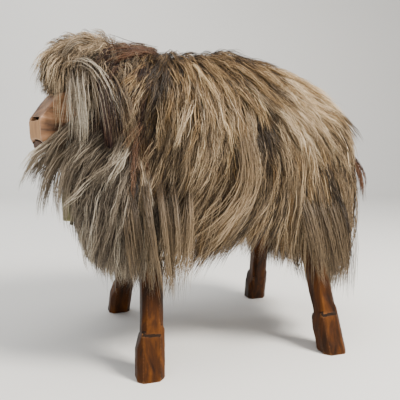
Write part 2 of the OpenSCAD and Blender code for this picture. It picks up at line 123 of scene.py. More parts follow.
def ramp_node(add, stops):
    """A colour ramp through (place, linear colour) stops."""
    r = add("ShaderNodeValToRGB")
    e = r.color_ramp.elements
    while len(e) < len(stops):
        e.new(0.5)
    for k, (at, colour) in enumerate(stops):
        e[k].position = at
        e[k].color = (*colour, 1)
    return r


def add_floor():
    """A sheet of paper that lies under the stool and curves up behind it."""
    near, far, rise, bend, half_width, steps = -1.6, 3.2, 2.6, 0.9, 3.5, 24
    line = [(near, 0.0)]
    for k in range(steps + 1):
        a = math.pi / 2 * k / steps
        line.append((far - bend + bend * math.sin(a), bend - bend * math.cos(a)))
    line.append((far, rise))
    look = Vector((CAM_LOOK.x, CAM_LOOK.y, 0)).normalized()
    side = Vector((-look.y, look.x, 0))
    bm = bmesh.new()
    rows = [[bm.verts.new(look * u + side * s + Vector((0, 0, z))) for s in (-half_width, half_width)]
            for u, z in line]
    for a, b in zip(rows, rows[1:]):
        bm.faces.new((a[0], a[1], b[1], b[0]))
    me = bpy.data.meshes.new("studio_floor")
    bm.to_mesh(me)
    bm.free()
    for p in me.polygons:
        p.use_smooth = True
    o = bpy.data.objects.new("studio_floor", me)
    scene.collection.objects.link(o)
    m, add, link, bsdf = new_material("studio_paper")
    noise = add("ShaderNodeTexNoise", Scale=1.3, Detail=3.0)
    tone = ramp_node(add, tones((0.3, 226, 225, 220), (0.7, 232, 230, 225)))
    link(noise.outputs["Fac"], tone.inputs["Fac"])
    link(tone.outputs["Color"], bsdf.inputs["Base Color"])
    bsdf.inputs["Roughness"].default_value = 0.85
    me.materials.append(m)


add_camera()
add_floor()
add_world()
for lamp in LAMPS:
    add_area(*lamp)


def unit(v):
    return v / (np.linalg.norm(v, axis=-1, keepdims=True) + 1e-12)


class Ripple:
    """A smooth random field: a sum of plane waves, so that neighbours move together."""

    def __init__(self, waves, lengths, seed):
        r = np.random.default_rng(seed)
        d = unit(r.normal(size=(waves, 3)))
        self.k = d * (2 * math.pi / r.uniform(*lengths, waves))[:, None]
        self.phase = r.uniform(0, 2 * math.pi, waves)

    def __call__(self, p):
        return np.sin(p @ self.k.T + self.phase).mean(1) * math.sqrt(2 * len(self.phase)) * 0.5


# ---------- materials for wood, metal, leather and cloth ----------


def surface(name, colours, grain=60.0, stretch=(1, 1, 1), turn=(0, 0, 0), rough=(0.4, 0.6), bump=0.0004,
            metal=0.0, coat=0.0, patches=9.0, edge_wear_and_glint=None, specular=0.5, edge_from=0.53):
    """A grained finish: fine stretched grain over broad patches, in colour, roughness and bump."""
    m, add, link, bsdf = new_material(name)
    where = add("ShaderNodeTexCoord")
    place = add("ShaderNodeMapping")
    place.inputs["Rotation"].default_value = turn
    place.inputs["Scale"].default_value = stretch
    link(where.outputs["Object"], place.inputs["Vector"])
    fine = add("ShaderNodeTexNoise", Scale=grain, Detail=7.0, Roughness=0.62, Distortion=0.4)
    link(place.outputs["Vector"], fine.inputs["Vector"])
    broad = add("ShaderNodeTexNoise", Scale=patches, Detail=3.0, Roughness=0.5)
    link(place.outputs["Vector"], broad.inputs["Vector"])
    blend = add("ShaderNodeMix", data_type="FLOAT")
    blend.inputs["Factor"].default_value = 0.38
    link(fine.outputs["Fac"], blend.inputs["A"])
    link(broad.outputs["Fac"], blend.inputs["B"])
    tone = ramp_node(add, colours)
    link(blend.outputs["Result"], tone.inputs["Fac"])
    last = tone.outputs["Color"]
    # pale sharp edges, found by pointiness: partly rubbed wear, partly a painted highlight where the edges
    # catch the light
    if edge_wear_and_glint:
        geo = add("ShaderNodeNewGeometry")
        edge = ramp_node(add, [(edge_from, (0, 0, 0)), (edge_from + 0.06, (0.8, 0.8, 0.8))])
        link(geo.outputs["Pointiness"], edge.inputs["Fac"])
        edge_mix = add("ShaderNodeMix", data_type="RGBA")
        link(edge.outputs["Color"], edge_mix.inputs["Factor"])
        link(last, edge_mix.inputs["A"])
        edge_mix.inputs["B"].default_value = (*edge_wear_and_glint, 1)
        last = edge_mix.outputs["Result"]
    link(last, bsdf.inputs["Base Color"])
    gloss = add("ShaderNodeMapRange")
    gloss.inputs["From Min"].default_value, gloss.inputs["From Max"].default_value = 0.3, 0.7
    gloss.inputs["To Min"].default_value, gloss.inputs["To Max"].default_value = rough
    link(blend.outputs["Result"], gloss.inputs["Value"])
    link(gloss.outputs["Result"], bsdf.inputs["Roughness"])
    relief = add("ShaderNodeBump", Distance=bump, Strength=0.8)
    link(fine.outputs["Fac"], relief.inputs["Height"])
    link(relief.outputs["Normal"], bsdf.inputs["Normal"])
    bsdf.inputs["Metallic"].default_value = metal
    bsdf.inputs["Coat Weight"].default_value = coat
    bsdf.inputs["Coat Roughness"].default_value = 0.25
    bsdf.inputs["Specular IOR Level"].default_value = specular
    return m


LEG_LEAN = math.radians(18.3)
HEAD_TURN = math.radians(24)
STAIN = tones((0.30, 12, 5, 0), (0.42, 34, 15, 1), (0.52, 62, 31, 3), (0.62, 94, 52, 6), (0.75, 134, 82, 18))
HEAD_STAIN = tones((0.34, 62, 42, 32), (0.43, 100, 72, 52), (0.50, 148, 106, 72), (0.58, 172, 128, 92),
                   (0.68, 206, 172, 146))
RAW = tones((0.3, 150, 112, 74), (0.5, 186, 148, 104), (0.7, 206, 172, 128))

# the pale edge colours below are partly wear, partly painted highlights along the edges
leg_woods = {side: surface(f"stained_wood_{side}", STAIN, 70, (1, 1, 0.05), (0, lean, 0), (0.42, 0.6), 0.0006,
                           patches=22, edge_wear_and_glint=srgb(150, 104, 66), specular=0.16, edge_from=0.515)
             for side, lean in (("left", LEG_LEAN), ("right", -LEG_LEAN))}
head_wood = surface("carved_head_wood", HEAD_STAIN, 80, (1, 0.12, 1), (0, 0, -HEAD_TURN), (0.34, 0.5), 0.0005,
                    coat=0.08, patches=44, edge_wear_and_glint=srgb(214, 184, 160), specular=0.4, edge_from=0.515)
BARE = tones((0.3, 150, 104, 66), (0.5, 184, 138, 92), (0.7, 206, 162, 116))
nose_wood = surface("nose_bare_wood", BARE, 120, (1, 1, 0.2), (0, 0, -HEAD_TURN), (0.4, 0.6), 0.0003,
                    patches=30, edge_wear_and_glint=srgb(236, 210, 178), edge_from=0.512)
lip_wood = surface("lower_lip_wood", tones((0.34, 44, 30, 24), (0.5, 92, 66, 50), (0.68, 142, 110, 90)), 90,
                   (1, 0.2, 1), (0, 0, -HEAD_TURN), (0.5, 0.65), 0.0003, patches=40, specular=0.2)
# painted shadow: a near-black finish for the faces of grooves and notches, where shade falls
painted_groove_shade = surface("painted_groove_shadow", tones((0.3, 14, 9, 6), (0.7, 46, 32, 22)), 200, rough=(0.7, 0.9),
                   bump=0.0002, specular=0.1)
plain_wood = surface("frame_wood", RAW, 60, (1, 0.06, 1), rough=(0.55, 0.75))
post_wood = surface("post_wood", RAW, 60, (1, 1, 0.06), rough=(0.55, 0.75))
steel = surface("dull_steel", tones((0.3, 96, 92, 86), (0.7, 168, 164, 156)), 300, metal=1.0,
                rough=(0.3, 0.5), bump=0.00005)
brass = surface("aged_brass", tones((0.3, 92, 72, 34), (0.55, 166, 132, 66), (0.75, 196, 164, 92)), 260,
                metal=1.0, rough=(0.25, 0.5), bump=0.00006)
iron = surface("dark_iron", tones((0.3, 38, 36, 30), (0.6, 84, 80, 66), (0.8, 110, 104, 82)), 320,
               metal=0.8, rough=(0.35, 0.6), bump=0.00008)
bell_skin = surface("bell_patina", tones((0.3, 62, 60, 40), (0.5, 112, 108, 76), (0.7, 158, 152, 116)), 180,
                    metal=0.75, rough=(0.35, 0.6), bump=0.0002, patches=60, edge_wear_and_glint=srgb(176, 166, 120))
leather = surface("collar_leather", tones((0.3, 40, 24, 16), (0.55, 74, 46, 30), (0.75, 104, 70, 48)), 420,
                  rough=(0.45, 0.7), bump=0.0003, patches=40)
suede = surface("ear_suede", tones((0.3, 14, 8, 8), (0.55, 32, 20, 18), (0.75, 72, 50, 44)), 500,
                rough=(0.7, 0.9), bump=0.0005, patches=60, specular=0.1)
undercoat = surface("fleece_undercoat", tones((0.3, 36, 28, 20), (0.5, 56, 45, 33), (0.72, 86, 72, 54)), 420,
                    rough=(0.8, 0.95), bump=0.0012, patches=30, specular=0.15)
calico = surface("stuffing_calico", tones((0.3, 196, 186, 162), (0.7, 226, 218, 198)), 900, rough=(0.8, 0.95),
                 bump=0.0003)

NODE_LOOKS = {
    plain_wood: ["seat_board", "front_leg_block", "rear_leg_block"],
    post_wood: ["neck_post", "head_dowel"],
    steel: ["block_screws", "neck_bolts", "neck_washers", "head_screw"],
    brass: ["hide_tacks", "collar_buckle", "buckle_prong", "staple_rivets"],
    leather: ["collar_strap", "strap_keeper"],
    iron: ["bell_staple", "bell_ring", "bell_crown_loop", "clapper"],
    bell_skin: ["bell_shell", "bell_rivets"],
    leg_woods["left"]: ["leg_wedges"],
}
for look, names in NODE_LOOKS.items():
    for name in names:
        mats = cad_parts[name].data.materials
        for k in range(len(mats)):
            mats[k] = look
        if not len(mats):
            mats.append(look)


# ---------- meshes ----------


def mesh_piece(name, bm, look):
    me = bpy.data.meshes.new(name)
    bm.to_mesh(me)
    bm.free()
    for f in me.polygons:
        f.use_smooth = True
    me.materials.append(look)
    o = bpy.data.objects.new(name, me)
    scene.collection.objects.link(o)
    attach(o, "goat")
    return o


def apply_all(o):
    """Turns an object's modifiers into its mesh."""
    dg = bpy.context.evaluated_depsgraph_get()
    me = bpy.data.meshes.new_from_object(o.evaluated_get(dg), preserve_all_data_layers=True, depsgraph=dg)
    old = o.data
    o.modifiers.clear()
    o.data = me
    bpy.data.meshes.remove(old)


def vertex_rows(me, key):
    """The vertices' "co" or "normal", one row each."""
    rows = np.empty(len(me.vertices) * 3, np.float32)
    me.vertices.foreach_get(key, rows)
    return rows.reshape(-1, 3).astype(float)


def soften_points(me, co, weight, rounds=30):
    """Moves each vertex towards its neighbours' mean, as far as its weight says."""
    edges = np.empty(len(me.edges) * 2, np.int32)
    me.edges.foreach_get("vertices", edges)
    a, b = edges.reshape(-1, 2).T
    count = np.bincount(a, minlength=len(co)) + np.bincount(b, minlength=len(co))
    for _ in range(rounds):
        for k in range(3):
            total = np.bincount(a, co[b, k], len(co)) + np.bincount(b, co[a, k], len(co))
            co[:, k] += (total / np.maximum(count, 1) - co[:, k]) * weight * 0.6
    return co


def carved(name, node, looks, voxel, soften, dent, dent_size, round_off=None):
    """A softly rounded copy of a CAD node, as a knife and sandpaper leave it."""
    o = bpy.data.objects.new(name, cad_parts[node].data.copy())
    scene.collection.objects.link(o)
    rem = o.modifiers.new("remesh", "REMESH")
    rem.mode = "VOXEL"
    rem.voxel_size = voxel
    sm = o.modifiers.new("soften", "SMOOTH")
    sm.factor, sm.iterations = 0.5, soften
    apply_all(o)
    co, no = vertex_rows(o.data, "co"), vertex_rows(o.data, "normal")
    if round_off:
        co = soften_points(o.data, co, round_off(co))
    field = Ripple(12, (dent_size * 0.6, dent_size * 1.6), 40 + len(name))
    co += no * (np.minimum(field(co), 0.2) * dent)[:, None]
    co[:, 2] = np.maximum(co[:, 2], 0.0)
    o.data.vertices.foreach_set("co", co.astype(np.float32).ravel())
    o.data.update()
    o.data.materials.clear()
    for look in looks:
        o.data.materials.append(look)
    for f in o.data.polygons:
        f.use_smooth = True
        f.material_index = 0
    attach(o, "goat")
    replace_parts(o, node)
    return o


# ---------- the hide's shape: a smooth union of rounded bodies ----------

TOP_Y = np.array([-0.16, -0.10, -0.02, 0.02, 0.062, 0.114, 0.188, 0.236, 0.28])
TOP_Z = np.array([0.438, 0.443, 0.449, 0.450, 0.441, 0.424, 0.403, 0.386, 0.350])
BODY_BASE = 0.200
BODY_MID = 0.051
BODY_HALF_WIDTH, BODY_HALF_LENGTH = 0.112, 0.189
HIDE_EDGE = 0.2595

# centre, half sizes, squareness
NECK = ((0, -0.160, 0.335), (0.078, 0.052, 0.110), 2.2)
CHEST = ((0, -0.153, 0.223), (0.102, 0.039, 0.084), 2.5)
NAPE = ((0, -0.120, 0.395), (0.085, 0.075, 0.058), 2.2)
CROWN = ((0.003, -0.190, 0.418), (0.056, 0.052, 0.052), 2.1)


def rounded(p, centre, half, power):
    """Rough distance to a superellipsoid."""
    q = p - np.asarray(centre)
    r = np.linalg.norm(q, axis=1) + 1e-9
    k = (np.abs(q / np.asarray(half)) ** power).sum(1) ** (1 / power) + 1e-9
    return r * (1 - 1 / k)


def body_part(p):
    """Rough distance to the barrel, whose top follows TOP_Z."""
    top = np.interp(p[:, 1], TOP_Y, TOP_Z)
    mid, tall = (top + BODY_BASE) / 2, (top - BODY_BASE) / 2
    off = np.stack([p[:, 0], p[:, 1] - BODY_MID, p[:, 2] - mid], 1)
    q = np.stack([off[:, 0] / BODY_HALF_WIDTH, off[:, 1] / BODY_HALF_LENGTH, off[:, 2] / tall], 1)
    k = (np.abs(q) ** np.array([2.7, 3.4, 2.7])).sum(1) ** (1 / 2.8) + 1e-9
    r = np.linalg.norm(off, axis=1) + 1e-9
    return r * (1 - 1 / k)


def merge(a, b, soft):
    h = np.clip(0.5 + 0.5 * (b - a) / soft, 0, 1)
    return b * (1 - h) + a * h - soft * h * (1 - h)


def smooth_max(a, b, soft=0.006):
    return -merge(-a, -b, soft)


def hide(p):
    """The surface that the hair grows from."""
    d = merge(body_part(p), rounded(p, *NECK), 0.035)
    d = merge(d, rounded(p, *CHEST), 0.03)
    d = merge(d, rounded(p, *NAPE), 0.04)
    return merge(d, rounded(p, *CROWN), 0.02)


def slope(field, p, e=0.0015):
    g = np.empty_like(p)
    for k in range(3):
        step = np.zeros(3)
        step[k] = e
        g[:, k] = (field(p + step) - field(p - step)) / (2 * e)
    return g


def depth(field, p):
    """(distance to the surface, outward normal)."""
    g = slope(field, p)
    size = np.linalg.norm(g, axis=1) + 1e-9
    return field(p) / size, g / size[:, None]


HOOF_X = 0.146
LEG_TOP = 0.215
LEG_SPLAY = 0.33
LEG_RADIUS = 0.019
LEG_ENDS = ((-0.127, 0.017), (0.162, -0.017))  # hoof's y, and how far the top is from it


def legs_field(p):
    """Distance to the four legs' centre lines, less their thickness."""
    best = np.full(len(p), 1.0)
    for sx, (y, rake) in product((-1, 1), LEG_ENDS):
        a = np.array([sx * HOOF_X, y, 0.0])
        b = np.array([sx * (HOOF_X - LEG_SPLAY * LEG_TOP), y + rake, LEG_TOP])
        t = np.clip(((p - a) @ (b - a)) / ((b - a) @ (b - a)), 0, 1)
        best = np.minimum(best, np.linalg.norm(p - a - t[:, None] * (b - a), axis=1) - LEG_RADIUS)
    return best


# ---------- the comb: which way the hair lies, seen from the side ----------
# (y, z, degrees), y and z in mm: 0 hangs straight down, plus sweeps to the rear, minus to the front

COMB = np.array([
    (-230, 330, -38), (-235, 280, -24), (-240, 230, -10), (-200, 250, -20), (-200, 180, -16),
    (-190, 330, -26), (-150, 310, -28), (-150, 240, -20), (-150, 160, -8), (-130, 400, -12),
    (-135, 460, -70), (-105, 470, -50), (-100, 440, -6), (-95, 360, -10), (-100, 280, -18),
    (-95, 200, -16), (-90, 130, -6), (-75, 465, 18), (-50, 440, 8), (-45, 380, 2), (-48, 300, -5),
    (-45, 220, -18), (-45, 170, -22), (-20, 468, 34), (5, 430, 24), (10, 370, 6), (10, 310, -6),
    (12, 250, -26), (0, 190, -42), (30, 460, 62), (50, 420, 38), (45, 350, 16), (45, 290, -4),
    (40, 235, -38), (38, 180, -46), (85, 445, 66), (95, 400, 46), (85, 340, 26), (80, 270, 4),
    (80, 200, -10), (80, 150, -14), (150, 430, 68), (150, 380, 46), (140, 320, 26), (130, 250, 10),
    (130, 180, 6), (140, 120, 12), (215, 405, 48), (210, 350, 30), (200, 280, 12), (200, 200, 4),
    (200, 120, -8), (250, 370, 12), (256, 330, 2), (258, 280, -6), (254, 200, -20), (236, 130, -40),
], float)
COMB[:, :2] /= 1000
COMB[:, 2] = np.radians(COMB[:, 2])

# the height of the fringe's line along the goat
FRINGE_Y = np.array([-290, -269, -251, -236, -221, -213, -197, -176, -134, -112, -91, -72, -49, -5, 34,
                     70, 105, 140, 170, 195, 217, 232, 270]) / 1000
FRINGE_Z = np.array([284, 272, 250, 238, 212, 202, 168, 154, 146, 122, 116, 142, 162, 176, 172, 160,
                     142, 122, 106, 100, 136, 168, 200]) / 1000


def comb_angle(p):
    d2 = ((p[:, None, 1] - COMB[None, :, 0]) ** 2 + (p[:, None, 2] - COMB[None, :, 1]) ** 2)
    w = np.exp(-d2 / (2 * 0.026 ** 2)) + 1e-6 / (d2 + 1e-4)
    return (w * COMB[None, :, 2]).sum(1) / w.sum(1)


sway = Ripple(9, (0.05, 0.13), 3)
tint = Ripple(10, (0.03, 0.12), 5)
patch = Ripple(8, (0.08, 0.2), 8)
head_swirl = Ripple(8, (0.02, 0.05), 31)


def laid(lie, n, off):
    """Bends the direction lie along the surface close to it, and leaves it alone further off."""
    near = np.exp(-np.maximum(off, 0) / 0.03)[:, None]
    flat = lie - (lie * n).sum(1, keepdims=True) * n
    return unit(lie * (1 - near) + flat * near)


def comb_side(p, n, off, own=0.0):
    """The lie of the side hair at p: along the comb, over the surface, and down where it hangs free."""
    a = comb_angle(p) + 0.2 * sway(p) + own
    lie = np.stack([np.zeros(len(p)), np.sin(a), -np.cos(a)], 1)
    up = np.clip(n[:, 2], 0, 1)
    lie[:, 0] += np.sign(p[:, 0] + 1e-6) * (0.15 + 1.1 * up) * up
    return laid(lie, n, off)


def comb_head(p, n, off, own):
    """Out from the crown and down, with small swirls."""
    v = p - np.array([0.0, -0.152, 0.47])
    v[:, 2] = 0
    v = unit(v + np.array([0.0, -0.010, 0]))
    a = 0.7 * head_swirl(p) + own
    x, y = v[:, 0], v[:, 1]
    v = np.stack([x * np.cos(a) - y * np.sin(a), x * np.sin(a) + y * np.cos(a), v[:, 2]], 1)
    steep = np.clip((0.475 - p[:, 2]) / 0.06, 0, 1)[:, None]
    return laid(v * (1 - 0.75 * steep) + np.array([0, 0, -1.0]) * (0.1 + 0.9 * steep), n, off)


# ---------- guide lines ----------

NEIGHBOURS = list(product((-1, 0, 1), repeat=3))


def scatter(box, count, keep, spacing, r, first=60000):
    """Points on the hide, about spacing apart, where keep(p, n) says so, with their normals."""
    p = r.uniform(*box, (first, 3))
    for _ in range(5):
        d, n = depth(hide, p)
        p = p - n * d[:, None] * 0.9
    d, n = depth(hide, p)
    ok = (np.abs(d) < 0.001) & keep(p, n)
    p, n = p[ok], n[ok]
    cells, chosen = {}, []
    for i, (cx, cy, cz) in enumerate((p / spacing).astype(int)):
        near = (j for x, y, z in NEIGHBOURS for j in cells.get((cx + x, cy + y, cz + z), ()))
        if any(((p[i] - p[j]) ** 2).sum() < spacing ** 2 for j in near):
            continue
        cells.setdefault((cx, cy, cz), []).append(i)
        chosen.append(i)
        if len(chosen) >= count:
            break
    return p[chosen], n[chosen]


# the room in front of the chest in which the bell swings
ROOM_FRONT, ROOM_REAR, ROOM_BACK_PART = -0.272, -0.1955, -0.212
EAR_SIDE = 0.088


def keep_out(p):
    """Keeps guides out of the bell's room, and out from under the ear."""
    x, y, z = np.abs(p[:, 0]), p[:, 1], p[:, 2]
    side = np.sign(p[:, 0] + 1e-6)
    inside = (x < 0.044) & (y < -0.196) & (y > ROOM_FRONT) & (z < 0.296) & (z > 0.15)
    back = inside & (y > ROOM_BACK_PART) & (0.044 - x > 0.012)
    aside = inside & ~back
    ear = (np.abs(y + 0.175) < 0.017) & (z > 0.312) & (z < 0.362) & (x > EAR_SIDE)
    q = p.copy()
    q[back, 1] = -0.195
    q[aside, 0] = side[aside] * 0.0445
    q[ear, 0] = side[ear] * EAR_SIDE
    return q


def clear_bell(p):
    """Moves the points of finished hairs out of the room that the bell sweeps."""
    x, y, z = np.abs(p[..., 0]), p[..., 1], p[..., 2]
    inside = (x < 0.043) & (y > ROOM_FRONT) & (y < ROOM_REAR) & (z > 0.178) & (z < 0.298)
    back = inside & (y > ROOM_BACK_PART) & (x < 0.028)
    q = p.copy()
    q[..., 1] = np.where(back, ROOM_REAR, y)
    q[..., 0] = np.where(inside & ~back, np.sign(p[..., 0] + 1e-6) * 0.043, p[..., 0])
    return q


def grow(root, normal, length, lift, comb, steps=16, rise=0.55, stiff=0.62):
    """Guide lines: from root, up off the skin, then along the comb, kept lift above the skin."""
    line = np.empty((len(root), steps + 1, 3))
    line[:, 0] = p = root
    heading = unit(normal * rise + comb(p, normal, np.zeros(len(root))))
    for k in range(1, steps + 1):
        off, nn = depth(hide, p)
        heading = unit(heading * stiff + comb(p, nn, off) * (1 - stiff))
        p = p + heading * (length / steps)[:, None]
        off, nn = depth(hide, p)
        floor = lift * min(1.0, 0.25 + 1.6 * k / steps)
        p = p + nn * np.maximum(floor - off, 0)[:, None]
        leg, ln = depth(legs_field, p)
        p = p + ln * np.maximum(0.002 - leg, 0)[:, None]
        line[:, k] = p = keep_out(p)
    return line


def sample(line, t):
    """Points of each line at the shares t (one row of shares per line)."""
    m = line.shape[1]
    s = np.clip(t, 0, 1) * (m - 1)
    i = np.clip(s.astype(int), 0, m - 2)
    f = (s - i)[:, :, None]
    r = np.arange(len(line))[:, None]
    return line[r, i] * (1 - f) + line[r, i + 1] * f


def shorten(line, low, least=0.25):
    """Cuts each guide where it passes below low (one height per guide), and respaces it."""
    n, m, _ = line.shape
    under = line[:, :, 2] < low
    cut = under.any(1)
    first = np.where(cut, under.argmax(1), m - 1)
    before = np.clip(first - 1, 0, m - 2)
    rows = np.arange(n)
    za, zb = line[rows, before, 2], line[rows, before + 1, 2]
    part = np.clip((za - low[:, 0]) / np.where(np.abs(za - zb) < 1e-6, 1e-6, za - zb), 0, 1)
    end = np.maximum(np.where(cut, before + part, m - 1) / (m - 1), least)
    return sample(line, np.linspace(0, 1, m)[None, :] * end[:, None])


def gather(line, root, amount, r, spacing=0.019):
    """Draws neighbouring guides together towards their tips, into bigger locks with gaps between.
    Returns the guides, and the guide that each one is drawn to."""
    heads = []
    for i in r.permutation(len(root)):
        if not heads or ((root[heads] - root[i]) ** 2).sum(1).min() > spacing ** 2:
            heads.append(i)
    heads = np.array(heads)
    near = np.empty(len(root), int)
    batch = 512
    for a in range(0, len(root), batch):
        d = ((root[a:a + batch, None] - root[None, heads]) ** 2).sum(2)
        near[a:a + batch] = heads[d.argmin(1)]
    t = np.linspace(0, 1, line.shape[1])[None, :, None]
    aim = line[near] + (line[:, :1] - line[near][:, :1]) * (1 - 0.8 * t)
    k = (amount * r.uniform(0.5, 1.15, len(root)))[:, None, None] * t ** 0.8
    return line * (1 - k) + aim * k, near


# ---------- hairs ----------


def strands(line, normal, tone, per, spread, clump, points, r, wave, stray=0.12, tone_spread=0.1):
    """Hairs around each guide, spread at the root and drawn together at the tip: (points, tones)."""
    n = len(line)
    total = n * per
    pick = np.repeat(np.arange(n), per)
    guide = line[pick]
    reach = np.linalg.norm(np.diff(guide, axis=1), axis=2).sum(1)
    share = r.uniform(0.76, 1.06, total)
    t = np.linspace(0, 1, points)[None, :] ** 0.9 * np.minimum(share, 1)[:, None]
    p = sample(guide, t)
    along = unit(np.gradient(p, axis=1))
    side = unit(np.cross(along, np.broadcast_to(normal[pick][:, None, :], along.shape)))
    out = unit(np.cross(side, along))

    # where each hair stands in its lock, and how it closes up
    a = r.uniform(0, 2 * math.pi, total)
    rad = np.sqrt(r.uniform(0, 1, total)) * spread * r.uniform(0.7, 1.2, total)
    wild = r.uniform(0, 1, total) < stray
    pull = clump * r.uniform(0.75, 1.1, total)
    pull = np.where(wild, r.uniform(-0.9, 0.2, total), pull)
    u = np.linspace(0, 1, points)[None, :]
    k = 1 - np.clip(pull, -2, 1)[:, None] * np.sin(u * math.pi / 2) ** 1.3
    ca, sa = (np.cos(a) * rad)[:, None] * k, (np.sin(a) * rad * 0.55)[:, None] * k
    p = p + side * ca[..., None] + out * sa[..., None]

    # its waves
    size, period = wave
    phase = r.uniform(0, 2 * math.pi, n)[pick] + r.normal(0, 1.1, total)
    phase_out = r.uniform(0, 2 * math.pi, total)
    freq = 2 * math.pi * reach / period * r.uniform(0.8, 1.2, n)[pick]
    amp = (size * r.uniform(0.3, 1.3, total))[:, None]
    wave_side = np.sin(freq[:, None] * u + phase[:, None]) - np.sin(phase)[:, None]
    wave_out = np.sin(freq[:, None] * u * 0.8 + phase_out[:, None]) - np.sin(phase_out)[:, None]
    env = np.minimum(u * 2.5, 1)
    p = p + side * (amp * env * wave_side)[..., None] + out * (0.6 * amp * env * wave_out)[..., None]
    return clear_bell(p), np.clip(tone[pick] + r.normal(0, tone_spread, total), 0.01, 0.99)


HIDE_OF = {"body_fleece": "body_sheepskin", "neck_fleece": "neck_sheepskin", "head_fleece": "head_sheepskin",
           "tail_hair": "tail"}
TIP_SHARE = 0.12
HAIRS_PER_MESH = 4200


def prism_faces(points):
    """The faces of one hair: (corner numbers, corners per face, share of the length at each corner)."""
    rings = points - 1
    quads = [(s * 3 + k, s * 3 + (k + 1) % 3, s * 3 + (k + 1) % 3 + 3, s * 3 + k + 3)
             for s in range(rings - 1) for k in range(3)]
    last, tip = (rings - 1) * 3, rings * 3
    tris = [(0, 2, 1)] + [(last + k, last + (k + 1) % 3, tip) for k in range(3)]
    corners = np.array([c for face in quads + tris for c in face])
    sizes = np.array([len(face) for face in quads + tris])
    return corners, sizes, corners // 3 / rings


def hair_mesh(name, q, tone, width):
    """Closed three-sided tapered hairs, with their own map: tone across, root to tip along."""
    n, points, _ = q.shape
    rings = points - 1
    along = unit(np.gradient(q, axis=1))
    ref = np.where(np.abs(along[..., 2:3]) > 0.9, np.array([1.0, 0, 0]), np.array([0, 0, 1.0]))
    sx = unit(np.cross(along, ref))
    sy = np.cross(sx, along)
    u = np.linspace(0, 1, points)
    taper = np.minimum(0.55 + 2.2 * u, 1.0) * (1 - (1 - TIP_SHARE) * np.clip((u - 0.5) / 0.5, 0, 1) ** 1.6)
    r = (width[:, None] * taper[None, :rings] / 2)[..., None]
    per = rings * 3 + 1
    verts = np.empty((n, per, 3))
    for k in range(3):
        a = 2 * math.pi * k / 3
        corner = sx[:, :rings] * r * math.cos(a) + sy[:, :rings] * r * math.sin(a)
        verts[:, k:rings * 3:3] = q[:, :rings] + corner
    verts[:, -1] = q[:, -1]
    corners, sizes, share = prism_faces(points)
    loops = ((np.arange(n) * per)[:, None] + corners[None]).ravel()
    sizes = np.tile(sizes, n)
    uv = np.empty((n, len(corners), 2), np.float32)
    uv[:, :, 0] = tone[:, None]
    uv[:, :, 1] = np.clip(share, 0.01, 0.99)[None]
    me = bpy.data.meshes.new(name)
    me.vertices.add(n * per)
    me.vertices.foreach_set("co", verts.reshape(-1).astype(np.float32))
    me.loops.add(len(loops))
    me.loops.foreach_set("vertex_index", loops.astype(np.int32))
    me.polygons.add(len(sizes))
    me.polygons.foreach_set("loop_start", np.concatenate([[0], np.cumsum(sizes)[:-1]]).astype(np.int32))
    me.polygons.foreach_set("loop_total", sizes.astype(np.int32))
    me.update(calc_edges=True)
    me.uv_layers.new(name="OFBake").data.foreach_set("uv", uv.reshape(-1))
    me.polygons.foreach_set("use_smooth", np.ones(len(sizes), bool))
    return me


def add_hairs(name, p, tone, width, slot, look):
    """Puts hairs on the goat, in meshes of at most HAIRS_PER_MESH."""
    for part, at in enumerate(range(0, len(p), HAIRS_PER_MESH), start=1):
        here = slice(at, at + HAIRS_PER_MESH)
        me = hair_mesh(f"{name}_{part}", p[here], tone[here], width[here])
        me.materials.append(look)
        o = bpy.data.objects.new(f"{name}_{part}", me)
        scene.collection.objects.link(o)
        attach(o, "goat")
        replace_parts(o, HIDE_OF[slot])


def hair_material(name, palette):
    """Colour from the hair's own map: across is the lock's tone, along is root to tip, darkened towards the
    root as painted shade deep in the fleece and paler at the tip.
    """
    m, add, link, bsdf = new_material(name)
    uv = add("ShaderNodeUVMap", uv_map="OFBake")
    split = add("ShaderNodeSeparateXYZ")
    link(uv.outputs["UV"], split.inputs["Vector"])
    tone = ramp_node(add, palette)
    link(split.outputs["X"], tone.inputs["Fac"])
    # painted shade: the hair darkens towards its root, where it lies deep in the fleece; the tips are paler
    root_shade_and_tip = ramp_node(add, [(0.0, (0.405, 0.36, 0.315)), (0.25, (0.82, 0.80, 0.78)), (0.6, (1, 1, 1)),
                            (1.0, (1.12, 1.12, 1.0976))])
    link(split.outputs["Y"], root_shade_and_tip.inputs["Fac"])
    mix = add("ShaderNodeMix", data_type="RGBA", blend_type="MULTIPLY")
    mix.inputs["Factor"].default_value = 1.0
    link(tone.outputs["Color"], mix.inputs["A"])
    link(root_shade_and_tip.outputs["Color"], mix.inputs["B"])
    link(mix.outputs["Result"], bsdf.inputs["Base Color"])
    bsdf.inputs["Roughness"].default_value = 0.48
    bsdf.inputs["Specular IOR Level"].default_value = 0.28
    bsdf.inputs["Sheen Weight"].default_value = 0.05
    bsdf.inputs["Sheen Roughness"].default_value = 0.4
    return m


OLIVE = tones((0.0, 40, 31, 23), (0.18, 70, 57, 42), (0.42, 122, 104, 80), (0.65, 166, 142, 110),
              (0.85, 204, 179, 143), (1.0, 230, 210, 178))
GREY = tones((0.0, 40, 33, 27), (0.18, 72, 62, 51), (0.42, 112, 99, 82), (0.65, 150, 136, 116),
             (0.85, 196, 182, 160), (1.0, 228, 218, 198))
RUSSET = tones((0.0, 30, 17, 11), (0.22, 64, 40, 27), (0.48, 100, 68, 46), (0.75, 138, 102, 74),
               (1.0, 192, 160, 126))
GOLDEN = tones((0.0, 38, 27, 15), (0.18, 70, 52, 31), (0.42, 122, 96, 62), (0.65, 162, 133, 94),
               (0.85, 200, 172, 130), (1.0, 226, 204, 166))

body_hair = hair_material("fleece_hair_olive", OLIVE)
back_hair = hair_material("fleece_hair_golden", GOLDEN)
chest_hair = hair_material("fleece_hair_grey", GREY)
neck_hair = hair_material("fleece_hair_russet", RUSSET)
tail_hair_look = hair_material("tail_hair_russet", RUSSET)


